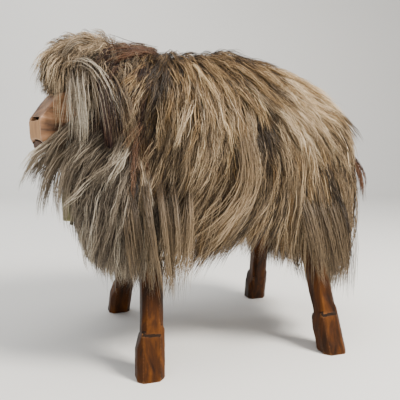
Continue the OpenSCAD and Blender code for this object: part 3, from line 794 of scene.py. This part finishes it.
# ---------- carved wood ----------

STEP_LOW, STEP_HIGH = 0.04, 0.14  # the heights between which the leg's step is cut

for side, end in product(("left", "right"), ("front", "rear")):
    leg = carved(f"{end}_{side}_leg_carved", f"{end}_{side}_leg", [leg_woods[side], painted_groove_shade],
                 0.0015, 4, 0.0005, 0.03)
    # the upward faces of the leg's step get the painted shadow of the groove
    for f in leg.data.polygons:
        if f.normal.z > 0.5 and STEP_LOW < f.center.z < STEP_HIGH:
            f.material_index = 1

HEAD_PIVOT = np.array([0.0, -0.1741, 0.0])
NOSE_REACH = 0.1045
NOSE_LOW, NOSE_HIGH = 0.3215, 0.3555
MOUTH_Z, MOUTH_RADIUS = 0.2975, 0.029
nose_out = np.array([math.sin(HEAD_TURN), -math.cos(HEAD_TURN), 0.0])
nose_side = np.array([math.cos(HEAD_TURN), math.sin(HEAD_TURN), 0.0])


def behind_nose(co):
    """1 on the bridge and cheeks, 0 at the crisp nose plate, the notch and the mouth."""
    return np.clip((NOSE_REACH - 0.008 - (co - HEAD_PIVOT) @ nose_out) / 0.008, 0, 1)


def head_look(centre, normal):
    """The head's material at a face: 0 stained, 1 bare nose, 2 painted shadow in the mouth cut and the
    nostril notch, 3 lower lip.
    """
    reach, across, z = (centre - HEAD_PIVOT) @ nose_out, (centre - HEAD_PIVOT) @ nose_side, centre[2]
    ring = math.hypot(across, z - MOUTH_Z)
    snout = reach > NOSE_REACH - 0.014
    if reach > NOSE_REACH - 0.0012 and NOSE_LOW < z < NOSE_HIGH and normal @ Vector(nose_out) > 0.8:
        return 1
    if snout and 0.3185 < z < 0.3285 and abs(ring - MOUTH_RADIUS) < 0.0011 and abs(normal.z) < 0.98:
        return 2
    if snout and z < 0.3275 and ring < MOUTH_RADIUS - 0.0005:
        return 3
    notch = abs(across) < 0.0128 and 0.352 < z < 0.3625 and reach < NOSE_REACH - 0.0025 - (z - 0.355) * 0.6
    return 2 if notch else 0


head_piece = carved("head_carved", "head", [head_wood, nose_wood, painted_groove_shade, lip_wood],
                    0.0009, 3, 0.0004, 0.02, behind_nose)
for f in head_piece.data.polygons:
    f.material_index = head_look(np.array(f.center), f.normal)

# ---------- hides and stuffing ----------


def balloon(name, field, centre, look, bumps, cut=None, detail=6):
    """A closed skin around a star-shaped field."""
    bm = bmesh.new()
    bmesh.ops.create_icosphere(bm, subdivisions=detail, radius=1)
    ray = unit(np.array([v.co[:] for v in bm.verts]))
    c = np.asarray(centre)
    near, far = 0.02, 0.42
    marks = np.linspace(far, near, 60)
    found = np.full(len(ray), near)
    done = np.zeros(len(ray), bool)
    for t in marks:
        inside = field(c + ray * t) < 0
        found[inside & ~done] = t
        done |= inside
    low, high = found, found + (marks[0] - marks[1])
    for _ in range(12):
        mid = (low + high) / 2
        inside = field(c + ray * mid[:, None]) < 0
        low, high = np.where(inside, mid, low), np.where(inside, high, mid)
    p = c + ray * low[:, None]
    p = p + ray * (Ripple(14, (0.012, 0.03), 77)(p) * bumps)[:, None]
    for v, q in zip(bm.verts, p):
        v.co = q
    if cut:
        cut(bm)
    return mesh_piece(name, bm, look)


def skin_field(p):
    """The hide with its open belly's hem, hollowed at the throat for the collar."""
    d = smooth_max(body_part(p), HIDE_EDGE - p[:, 2])
    d = merge(d, rounded(p, *NECK), 0.035)
    d = merge(d, rounded(p, *CHEST), 0.02)
    d = merge(d, rounded(p, *NAPE), 0.04)
    d = merge(d, rounded(p, *CROWN), 0.02)
    throat = 0.2 - np.linalg.norm(p - np.array([0, -0.42, 0.275]), axis=1)
    return smooth_max(d, np.where(np.abs(p[:, 0]) < 0.05, throat, -1.0), 0.01)


def open_belly(bm):
    """Cuts out the part of the skin that would close the room between the legs."""
    gone = []
    for f in bm.faces:
        c = f.calc_center_median()
        if abs(c.x) < 0.084 and -0.115 < c.y < 0.168 and c.z < 0.264 and f.normal.z < -0.6:
            gone.append(f)
    bmesh.ops.delete(bm, geom=gone, context="FACES")


hide_piece = balloon("hide_undercoat", skin_field, (0, -0.02, 0.345), undercoat, 0.0012,
                     open_belly)
shell = hide_piece.modifiers.new("shell", "SOLIDIFY")
shell.thickness, shell.offset = 0.0018, -1
apply_all(hide_piece)
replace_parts(hide_piece, "body_sheepskin", "neck_sheepskin", "head_sheepskin")

NECK_STUFFING = ((0, -0.158, 0.305), (0.042, 0.036, 0.075), 2.6)


def stuffing_field(p):
    return smooth_max(body_part(p) + 0.007, 0.2855 - p[:, 2])


def neck_stuffing_field(p):
    return rounded(p, *NECK_STUFFING)


stuffing = balloon("body_stuffing", stuffing_field, (0, 0.05, 0.345), calico, 0.0008, detail=5)
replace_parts(stuffing, "body_padding")

neck_stuffing = balloon("neck_stuffing", neck_stuffing_field, NECK_STUFFING[0], calico, 0.0006,
                        detail=5)
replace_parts(neck_stuffing, "neck_padding")

# ---------- eyes and ears ----------

EYE_RADIUS = 0.0066


def eye_look(name, centre, out):
    """Dark pupil, amber iris and pale rim, in rings around the way the eye looks."""
    m, add, link, bsdf = new_material(name)
    where = add("ShaderNodeTexCoord")
    gap = add("ShaderNodeVectorMath", operation="DISTANCE")
    link(where.outputs["Object"], gap.inputs[0])
    gap.inputs[1].default_value = centre + out * EYE_RADIUS
    ring = add("ShaderNodeMapRange")
    ring.inputs["From Max"].default_value = 0.008
    link(gap.outputs["Value"], ring.inputs["Value"])
    tone = ramp_node(add, tones((0.0, 14, 10, 8), (0.33, 22, 14, 10), (0.4, 132, 92, 44),
                                (0.62, 176, 138, 82), (0.7, 206, 194, 160), (1.0, 214, 204, 176)))
    link(ring.outputs["Result"], tone.inputs["Fac"])
    link(tone.outputs["Color"], bsdf.inputs["Base Color"])
    bsdf.inputs["Roughness"].default_value = 0.12
    bsdf.inputs["Coat Weight"].default_value = 0.6
    bsdf.inputs["Coat Roughness"].default_value = 0.05
    return m


turned = Matrix.Rotation(HEAD_TURN, 3, "Z")
for side, name in ((1, "eye_left"), (-1, "eye_right")):
    centre = turned @ Vector((side * 0.0275, -0.048, 0)) + Vector((0, HEAD_PIVOT[1], 0.379))
    out = turned @ Vector((side * 0.93, -0.35, 0.12)).normalized()
    bm = bmesh.new()
    bmesh.ops.create_icosphere(bm, subdivisions=4, radius=EYE_RADIUS)
    for v in bm.verts:
        bulge = max(v.co.normalized() @ out, 0) ** 8
        v.co = centre + v.co * (1 + 0.05 * bulge)
    bead = mesh_piece(f"{name}_bead", bm, eye_look(f"{name}_glass", centre, out))
    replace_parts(bead, name)


def ear_flap(name, side):
    """A drooping leaf-shaped flap of suede, cupped towards the head."""
    top, tip = Vector((side * 0.060, -0.186, 0.436)), Vector((side * 0.104, -0.172, 0.314))
    knee = Vector((side * 0.097, -0.174, 0.402))
    rows, cols = 26, 18
    bm = bmesh.new()
    grid = []
    for i in range(rows + 1):
        t = i / rows
        mid = top * (1 - t) ** 2 + knee * 2 * t * (1 - t) + tip * t * t
        wide = 0.0115 * (math.sin(math.pi * (0.12 + 0.85 * t ** 1.5)) ** 0.6 + 0.02)
        row = []
        for j in range(cols):
            a = 2 * math.pi * j / cols
            u, w = math.cos(a), math.sin(a)
            cup = 0.006 * (u * u) * (0.4 + 0.6 * t)
            curl = 0.0015 * math.sin(9 * t + 2 * u)
            row.append(bm.verts.new((mid.x + side * (w * 0.0024 - cup), mid.y + u * wide, mid.z + curl)))
        grid.append(row)
    for a, b in zip(grid, grid[1:]):
        for j in range(cols):
            bm.faces.new((a[j], a[(j + 1) % cols], b[(j + 1) % cols], b[j]))
    bm.faces.new(grid[0][::-1])
    bm.faces.new(grid[-1])
    bmesh.ops.recalc_face_normals(bm, faces=bm.faces)
    o = mesh_piece(name, bm, suede)
    sub = o.modifiers.new("round", "SUBSURF")
    sub.levels = sub.render_levels = 1
    apply_all(o)
    return o


# ---------- the fleece: lengths and tones ----------

# soft patches of darker and paler hair, partly the hair's own tone and partly painted highlights and painted
# shade in the gaps between locks: (y, z, half-length along y, along z, change of tone)
TONE_AND_LIGHT_PATCHES = [
    (0.053, 0.320, 0.014, 0.028, -1.0), (-0.121, 0.352, 0.007, 0.024, -0.40),
    (-0.151, 0.344, 0.005, 0.026, 0.20), (-0.062, 0.336, 0.014, 0.030, 0.20),
    (-0.047, 0.360, 0.004, 0.018, -0.25), (0.135, 0.365, 0.024, 0.026, 0.20),
    (-0.098, 0.428, 0.020, 0.006, -0.40), (0.030, 0.330, 0.010, 0.016, 0.12),
    (0.170, 0.120, 0.050, 0.036, -0.46), (-0.135, 0.300, 0.030, 0.040, -0.14),
    (0.000, 0.462, 0.080, 0.024, -0.26), (-0.098, 0.405, 0.020, 0.040, -0.44),
    (-0.080, 0.300, 0.004, 0.03, -0.25), (0.010, 0.300, 0.004, 0.03, -0.22),
    (-0.100, 0.160, 0.03, 0.03, -0.12),
]


def tone_and_light_at(p):
    return sum(d * np.exp(-((p[:, 1] - y) / a) ** 2 - ((p[:, 2] - z) / b) ** 2) for y, z, a, b, d in TONE_AND_LIGHT_PATCHES)


def patch_tone_and_light(line):
    """The change of tone over the showing half of each guide, painted highlights and shade included."""
    return 0.6 * (tone_and_light_at(line[:, 7]) + tone_and_light_at(line[:, 11]))


def lock_tone(p, r, centre, spread=0.15):
    return np.clip(centre + 0.13 * tint(p) + 0.09 * patch(p) + r.normal(0, spread, len(p)), 0.02, 0.98)


def fringe_low(line, r):
    """The height at which each guide ends: the fringe's line under its tip, with a ragged edge."""
    x, y = np.abs(line[:, -1, 0]), line[:, -1, 1]
    n = len(y)
    ragged = r.normal(0, 0.007, n) + np.where(r.uniform(0, 1, n) < 0.1, r.uniform(-0.02, 0, n), 0) - 0.024
    inner = np.clip((0.11 - x) / 0.06, 0, 1) * 0.008
    return np.maximum(np.interp(y, FRINGE_Y, FRINGE_Z) + ragged + inner, 0.075)[:, None]


def reach_down(root, length, r, share):
    """Lets enough of the lower locks reach the fringe's line."""
    low = np.interp(root[:, 1], FRINGE_Y, FRINGE_Z)
    need = (root[:, 2] - low) * r.uniform(1.1, 1.45, len(root)) + 0.055
    picked = (r.uniform(0, 1, len(root)) < share) & (root[:, 2] < 0.33)
    return np.where(picked, np.maximum(length, need), length)


# ---------- the fleece: layers of locks ----------

Layer = namedtuple("Layer", "count gap per spread clump points widths lifts tone long reach")
LAYERS = [  # a dark, broad under layer, then two layers of fine hair over it
    Layer(2200, 0.0120, 9, 0.0085, 0.35, 6, (0.0016, 0.0024), (0.0, 0.45), 0.20, 1.0, 0.75),
    Layer(4200, 0.0076, 10, 0.0075, 0.35, 7, (0.0006, 0.0010), (0.2, 0.8), 0.36, 0.92, 0.8),
    Layer(4200, 0.0078, 11, 0.0068, 0.50, 8, (0.0004, 0.0008), (0.45, 1.08), 0.54, 0.76, 0.55),
]
# each layer's locks turn a little, in clumps, so that the layers cross
turns = [Ripple(9, (0.022, 0.055), 61 + k) for k in range(len(LAYERS))]


class BodyHide:
    """The hair of the back, the sides and the rump."""

    seed, slot = 101, "body_fleece"
    box, gap_share = ((-0.13, -0.13, 0.2), (0.13, 0.275, 0.46)), 1.0
    tone_shift, bunch, palest = 0.0, 0.5, 0.98
    kinds = (("body_fleece", False, body_hair), ("back_fleece", True, back_hair))

    @staticmethod
    def keep(p, n):
        return (p[:, 2] > 0.262) & (p[:, 1] > -0.115) & (n[:, 2] > -0.5)

    @staticmethod
    def natural(root):
        return np.interp(root[:, 2], [0.26, 0.30, 0.36, 0.42, 0.46], [0.165, 0.150, 0.130, 0.115, 0.105])

    @staticmethod
    def trim(root):
        nape = np.where((root[:, 1] < -0.085) & (root[:, 2] > 0.44), 0.6, 1.0)
        return nape * np.where((root[:, 1] > 0.17) & (root[:, 2] > 0.35), 0.7, 1.0)

    @staticmethod
    def lift(root):
        base = np.interp(root[:, 2], [0.26, 0.34, 0.46], [0.032, 0.026, 0.018])
        return base * np.interp(root[:, 1], [0.10, 0.21], [1.0, 0.22])

    @staticmethod
    def shade(root, line):
        """Painted light: the fleece is lighter on the upper flank and on the rump, where the light falls on
        it, and darker low down and along the top of the back.
        """
        p = line[:, 7]
        light_by_height = np.interp(p[:, 2], [0.20, 0.29, 0.35, 0.43, 0.465], [-0.10, -0.08, 0.10, 0.06, -0.16])
        lit_rump = np.interp(p[:, 1], [0.07, 0.17], [0.0, 0.22])
        return light_by_height + lit_rump * np.interp(p[:, 2], [0.15, 0.24], [0.0, 1.0])

    @staticmethod
    def second_kind(root, r):
        """Golden hair along the back, mixed in below it."""
        high, some = root[:, 2] > 0.425, root[:, 2] > 0.40
        return high | (some & (r.uniform(0, 1, len(root)) < 0.5)) | (r.uniform(0, 1, len(root)) < 0.15)


class NeckHide:
    """The hair of the neck and the chest, left open at the face and the throat."""

    seed, slot = 201, "neck_fleece"
    box, gap_share = ((-0.13, -0.26, 0.12), (0.13, -0.10, 0.47)), 0.95
    tone_shift, bunch, palest = -0.05, 0.4, 0.76
    kinds = (("neck_fleece", True, neck_hair), ("chest_fleece", False, chest_hair))

    @staticmethod
    def keep(p, n):
        x, y, z = np.abs(p[:, 0]), p[:, 1], p[:, 2]
        face = (y < -0.215) & (z > 0.31) & (z < 0.42)
        throat = (x < 0.04) & (y < -0.19) & (z > 0.27)
        crown = (z > 0.37) & (y < -0.165)
        return (y <= -0.112) & (z > 0.16) & (z < 0.455) & ~face & ~throat & ~crown

    @staticmethod
    def natural(root):
        heights = [0.16, 0.26, 0.33, 0.38, 0.42, 0.46]
        return np.interp(root[:, 2], heights, [0.10, 0.125, 0.125, 0.095, 0.060, 0.060])

    @staticmethod
    def trim(root):
        return 1.0

    @staticmethod
    def lift(root):
        return np.interp(root[:, 2], [0.16, 0.30, 0.40, 0.46], [0.036, 0.038, 0.022, 0.014])

    @staticmethod
    def shade(root, line):
        """Darker behind the head."""
        return -0.38 * ((root[:, 2] > 0.375) & (root[:, 1] > -0.165))

    @staticmethod
    def second_kind(root, r):
        """Russet hair behind the head and along the shoulder seam."""
        y, z = root[:, 1], root[:, 2]
        return (z > 0.375) & (y > -0.165) | (y > -0.130) & (z > 0.33)


def grow_layer(hide_part, k):
    """One layer of locks over one hide."""
    layer = LAYERS[k]
    r = np.random.default_rng(hide_part.seed + k)
    root, norm = scatter(hide_part.box, layer.count, hide_part.keep, layer.gap * hide_part.gap_share, r)
    length = hide_part.natural(root) * r.uniform(0.75, 1.15, len(root)) * layer.long
    length = reach_down(root, length, r, layer.reach) * hide_part.trim(root)
    swing = np.interp(root[:, 1], [0.08, 0.15], [0.28, 0.10])
    own = r.normal(0, 0.09, len(root)) + turns[k](root) * swing
    lift = r.uniform(*layer.lifts, len(root)) * hide_part.lift(root)
    line = grow(root, norm, length, lift, lambda p, n, off: comb_side(p, n, off, own))
    line, near = gather(line, root, 0.5 if k else 0.2, r)
    line = shorten(line, fringe_low(line, r))
    tone = lock_tone(root, r, layer.tone + hide_part.tone_shift)
    tone = tone + hide_part.bunch * (lock_tone(root, r, 0.46)[near] - 0.46)
    # the patches and the body's shade paint highlights and shade into the locks' tones
    tone = np.clip(tone + patch_tone_and_light(line) + hide_part.shade(root, line), 0.02, hide_part.palest)
    second = hide_part.second_kind(root, r)
    for label, wanted, look in hide_part.kinds:
        chosen = second == wanted
        p, tn = strands(line[chosen], norm[chosen], tone[chosen], layer.per, layer.spread, layer.clump,
                        layer.points, r, wave=(0.0022, 0.055), tone_spread=0.16)
        add_hairs(f"{label}_{k + 1}", p, tn, r.uniform(*layer.widths, len(p)), hide_part.slot, look)


for hide_part in (BodyHide, NeckHide):
    for k in range(len(LAYERS)):
        grow_layer(hide_part, k)

# ---------- the hair on the head ----------

HAIR_TOP = 0.498
# the edge of the hair over the face: it hangs lower towards the ears
FACE_Y, FACE_Z = [-0.262, -0.236, -0.216, -0.200, -0.186], [0.404, 0.398, 0.388, 0.355, 0.300]
HeadLayer = namedtuple("HeadLayer", "gap per lifts long tone widths look")
HEAD_LAYERS = [
    HeadLayer(0.0062, 10, (0.001, 0.008), 1.0, 0.26, (0.0009, 0.0014), chest_hair),
    HeadLayer(0.0056, 12, (0.006, 0.020), 0.85, 0.42, (0.0004, 0.0007), body_hair),
]


def head_keep(p, n):
    y, z = p[:, 1], p[:, 2]
    return (z > 0.385) & (y < np.where(z > 0.43, -0.122, -0.135)) & ~((y < -0.215) & (z < 0.405))


def head_patch(p):
    """The shaded hollow under the brow, and the paler fringe of the forelock."""
    y, z = p[:, 1], p[:, 2]
    return (-0.30 * np.exp(-((y + 0.226) / 0.016) ** 2 - ((z - 0.424) / 0.014) ** 2)
            + 0.16 * np.exp(-((y + 0.172) / 0.02) ** 2 - ((z - 0.455) / 0.02) ** 2))


def grow_head(layer, k, r):
    root, norm = scatter(((-0.08, -0.26, 0.36), (0.08, -0.13, 0.49)), 1100, head_keep, layer.gap, r, 30000)
    length = np.interp(root[:, 2], [0.38, 0.43, 0.475], [0.046, 0.054, 0.050])
    length = length * r.uniform(0.5, 1.2, len(root)) * layer.long
    length = length * np.interp(root[:, 1], [-0.235, -0.205], [0.55, 1.0])
    own = r.normal(0, 0.35, len(root))
    lift = r.uniform(*layer.lifts, len(root))
    line = grow(root, norm, length, lift, lambda p, n, off: comb_head(p, n, off, own))
    brow = np.interp(line[:, -1, 1], FACE_Y, FACE_Z) + r.normal(0, 0.006, len(line))
    line = shorten(line, brow[:, None], 0.3)
    tone = np.clip(lock_tone(root, r, layer.tone, 0.12) + head_patch(line[:, 6]), 0.02, 0.98)
    p, tn = strands(line, norm, tone, layer.per, 0.007, 0.1, 8, r, wave=(0.0022, 0.035), stray=0.25,
                    tone_spread=0.16)
    keep = p[:, :, 2].max(1) < HAIR_TOP
    p, tn = p[keep], tn[keep]
    add_hairs(f"head_fleece_{k}", p, tn, r.uniform(*layer.widths, len(p)), "head_fleece", layer.look)


head_random = np.random.default_rng(303)
for k, layer in enumerate(HEAD_LAYERS, start=1):
    grow_head(layer, k, head_random)

# ---------- locks placed one by one -------


def curve(points, steps=17):
    """An even, smooth line through a few points, given in mm."""
    p = np.array(points, float) / 1000
    n = len(p)
    e = np.vstack([2 * p[0] - p[1], p, 2 * p[-1] - p[-2]])
    out = []
    for u in np.linspace(0, n - 1, steps * 3):
        i = min(int(u), n - 2)
        t = u - i
        a, b, c, d = e[i], e[i + 1], e[i + 2], e[i + 3]
        out.append(0.5 * (2 * b + (c - a) * t + (2 * a - 5 * b + 4 * c - d) * t * t
                          + (3 * b - a - 3 * c + d) * t ** 3))
    out = np.array(out)
    s = np.concatenate([[0], np.cumsum(np.linalg.norm(np.diff(out, axis=0), axis=1))])
    at = np.linspace(0, s[-1], steps)
    return np.stack([np.interp(at, s, out[:, k]) for k in range(3)], 1)


def hero(name, locks, slot, look, seed, mirror=True, per=16, spread=0.004, clump=0.3, widths=(0.0006, 0.0010),
         fan=0.004, copies=1):
    """Locks along given lines, on both sides or one: locks are (points in mm, tone)."""
    r = np.random.default_rng(seed)
    lines, lock_tones = [], []
    for sx in ((1, -1) if mirror else (1,)):
        for points, tone in locks:
            for _ in range(copies):
                g = curve(points)
                u = np.linspace(0, 1, len(g))[:, None]
                g = g + r.normal(0, fan * 0.4, 3) + r.normal(0, fan, 3) * u
                g[:, 0] *= sx
                lines.append(g)
                lock_tones.append(np.clip(tone + r.normal(0, 0.06), 0.02, 0.98))
    line = np.array(lines)
    norm = np.tile(np.array([[1.0, -0.2, 0.1]]), (len(line), 1))
    norm[:, 0] *= np.sign(line[:, 8, 0] + 1e-9)
    p, tn = strands(line, unit(norm), np.array(lock_tones), per, spread, clump, 9, r, wave=(0.0009, 0.04),
                    stray=0.1, tone_spread=0.09)
    add_hairs(name, p, tn, r.uniform(*widths, len(p)), slot, look)


# ears: suede flaps with long pale hair in front of them
for side, name in ((1, "ear_left"), (-1, "ear_right")):
    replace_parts(ear_flap(f"{name}_flap", side), name)
hero("ear_hair", [
    ([(60, -214, 420), (70, -217, 400), (75, -217, 366), (76, -216, 322)], 0.72),
    ([(58, -211, 428), (73, -212, 404), (80, -211, 362), (80, -209, 306)], 0.90),
    ([(60, -204, 430), (77, -204, 406), (85, -203, 362), (84, -202, 304)], 0.92),
    ([(60, -196, 434), (80, -196, 408), (90, -195, 368), (87, -196, 316)], 0.62),
], "head_fleece", chest_hair, 404, per=4, copies=9, spread=0.005, fan=0.011, clump=-0.2,
     widths=(0.0004, 0.0007))
hero("ear_down", [
    ([(86, -182, 420), (101, -181, 386), (107, -180, 350), (108, -179, 316)], 0.10),
    ([(88, -174, 418), (103, -172, 384), (109, -171, 348), (110, -171, 310)], 0.18),
    ([(86, -166, 416), (102, -164, 382), (108, -163, 346), (109, -164, 314)], 0.06),
], "head_fleece", neck_hair, 417, per=5, copies=4, spread=0.004, fan=0.005, clump=0.2,
     widths=(0.0004, 0.0008))
hero("ear_wisps", [
    ([(74, -186, 430), (94, -182, 404), (104, -180, 370), (108, -178, 322)], 0.34),
    ([(76, -180, 428), (98, -168, 400), (108, -158, 362), (110, -153, 312)], 0.46),
    ([(78, -172, 426), (100, -158, 398), (110, -150, 360), (112, -146, 310)], 0.36),
], "head_fleece", body_hair, 414, per=4, copies=6, spread=0.004, fan=0.008, clump=-0.3,
     widths=(0.0004, 0.0007))
hero("brow_arc", [
    ([(62, -233, 424), (74, -216, 434), (84, -198, 430), (94, -182, 410), (102, -172, 380),
      (106, -164, 350)], 0.95),
    ([(62, -228, 426), (74, -210, 440), (85, -192, 434), (96, -176, 408), (105, -162, 370),
      (110, -152, 336)], 0.88),
], "head_fleece", chest_hair, 405, per=2, spread=0.0016, clump=-3.0, copies=4, fan=0.006,
     widths=(0.0003, 0.0005))
hero("brow_crest", [
    ([(56, -232, 440), (64, -220, 458), (70, -204, 466), (74, -188, 466)], 0.86),
], "head_fleece", chest_hair, 415, per=4, spread=0.002, clump=-1.0, copies=2, fan=0.004,
     widths=(0.0003, 0.0005))
hero("forelock", [
    ([(30, -225, 462), (36, -246, 448), (42, -256, 430), (44, -262, 410)], 0.74),
    ([(44, -222, 452), (54, -240, 436), (58, -246, 418), (58, -250, 396)], 0.86),
    ([(54, -216, 442), (64, -230, 424), (66, -234, 404), (64, -238, 380)], 0.66),
    ([(10, -226, 466), (14, -248, 450), (18, -258, 428), (20, -264, 406)], 0.62),
], "head_fleece", body_hair, 406, per=7, spread=0.006, clump=-0.4, copies=4, fan=0.007,
     widths=(0.0004, 0.0007))
hero("face_strands", [
    ([(60, -226, 428), (68, -236, 408), (72, -238, 376), (70, -240, 336)], 0.90),
    ([(56, -232, 420), (60, -244, 404), (60, -250, 384), (58, -252, 364)], 0.40),
], "head_fleece", body_hair, 416, per=3, spread=0.003, clump=-0.6, copies=3, fan=0.006,
     widths=(0.0003, 0.0005))
hero("cheek_beard", [
    ([(66, -214, 352), (74, -230, 338), (70, -246, 318), (62, -258, 290), (58, -264, 262)], 0.46),
    ([(62, -218, 342), (66, -236, 330), (64, -252, 316), (60, -270, 300), (56, -288, 272)], 0.66),
    ([(58, -216, 322), (64, -234, 304), (62, -248, 280), (58, -256, 252), (56, -258, 228)], 0.50),
    ([(56, -222, 312), (58, -242, 302), (56, -260, 286), (54, -268, 262)], 0.40),
    ([(66, -206, 326), (74, -222, 300), (74, -234, 268), (70, -240, 236), (68, -238, 208)], 0.55),
], "neck_fleece", chest_hair, 407, per=11, spread=0.006, clump=0.5, copies=5, fan=0.008)
hero("flank_sweep", [
    ([(128, 12, 345), (142, 14, 306), (146, 14, 268), (146, -6, 226), (142, -38, 192),
      (136, -70, 174)], 0.64),
    ([(130, 22, 334), (144, 24, 292), (147, 18, 252), (145, -10, 210), (140, -46, 184)], 0.54),
], "body_fleece", body_hair, 408, per=4, spread=0.005, clump=0.2, copies=8, fan=0.012,
     widths=(0.0004, 0.0008))
hero("mane_sweep", [
    ([(50, -98, 455), (56, -124, 457), (56, -150, 458), (50, -176, 464)], 0.30),
    ([(30, -96, 460), (36, -124, 461), (36, -152, 463), (34, -182, 470)], 0.55),
    ([(70, -100, 450), (78, -126, 448), (82, -150, 440), (84, -170, 428)], 0.40),
], "neck_fleece", neck_hair, 409, per=9, spread=0.006, clump=0.2, copies=5, fan=0.006)

# the fringe over the legs
hero("leg_fringe", [
    ([(108, -152, 262), (134, -150, 214), (140, -146, 165), (137, -138, 124)], 0.36),
    ([(110, -128, 262), (138, -128, 210), (145, -125, 160), (142, -119, 112)], 0.44),
    ([(112, -106, 262), (140, -108, 210), (147, -107, 155), (145, -102, 104)], 0.40),
    ([(112, -88, 262), (140, -92, 210), (148, -95, 155), (146, -94, 104)], 0.32),
    ([(112, -64, 262), (140, -72, 210), (148, -81, 160), (146, -87, 120)], 0.46),
    ([(96, 112, 262), (126, 113, 222), (140, 117, 176), (140, 124, 130)], 0.30),
    ([(96, 128, 262), (126, 130, 218), (142, 134, 168), (142, 142, 112)], 0.34),
    ([(96, 144, 262), (126, 148, 215), (143, 153, 160), (142, 161, 100)], 0.24),
    ([(94, 162, 262), (122, 167, 215), (138, 172, 155), (138, 178, 88)], 0.30),
    ([(92, 180, 262), (118, 186, 215), (133, 188, 155), (134, 188, 82)], 0.22),
    ([(88, 198, 262), (112, 204, 215), (124, 202, 155), (129, 193, 88)], 0.28),
], "body_fleece", body_hair, 418, per=8, spread=0.006, clump=0.3, copies=7, fan=0.009,
     widths=(0.0004, 0.0009))

# ---------- single stray hairs that stand off the fleece ----------


def stray_keep(p, n):
    return (p[:, 2] > 0.28) & (p[:, 1] > -0.18)


r = np.random.default_rng(606)
root, norm = scatter(((-0.12, -0.25, 0.24), (0.13, 0.27, 0.49)), 240, stray_keep, 0.012, r, 8000)
away = unit(norm + r.normal(0, 0.5, norm.shape) + np.array([0, 0, 0.2]))
t = np.linspace(0, 1, 17)[None, :, None]
reach = r.uniform(0.014, 0.032, len(away))[:, None, None]
lie = comb_side(root, norm, np.zeros(len(away)))[:, None, :]
line = root[:, None] + away[:, None] * reach * np.sin(t * 1.4) + lie * reach * 1.1 * t ** 2
p, tn = strands(line, norm, np.full(len(away), 0.5), 1, 0.0005, 0.0, 8, r, wave=(0.0015, 0.05))
low = p[:, :, 2].max(1) < HAIR_TOP + 0.001
add_hairs("stray_hair", p[low], tn[low], np.full(low.sum(), 0.0003), "body_fleece", body_hair)

# ---------- tail ----------

TAIL_LOCKS = 16
tail_lines = []
for k in range(TAIL_LOCKS):
    a = 2 * math.pi * k / TAIL_LOCKS
    sx, sy = 12 * math.cos(a), 6 * math.sin(a)
    line = [(6 + sx * 0.4, 240, 320 + sy), (12 + sx * 1.2, 266 + sy * 0.5, 300),
            (18 + sx * 1.4, 283 + sy, 264), (22 + sx * 1.4, 283 + sy, 228 + 10 * math.sin(3 * a))]
    tail_lines.append((line, 0.3 + 0.03 * (k % 5)))
hero("tail_hair", tail_lines, "tail_hair", tail_hair_look, 506, mirror=False, clump=0.4)
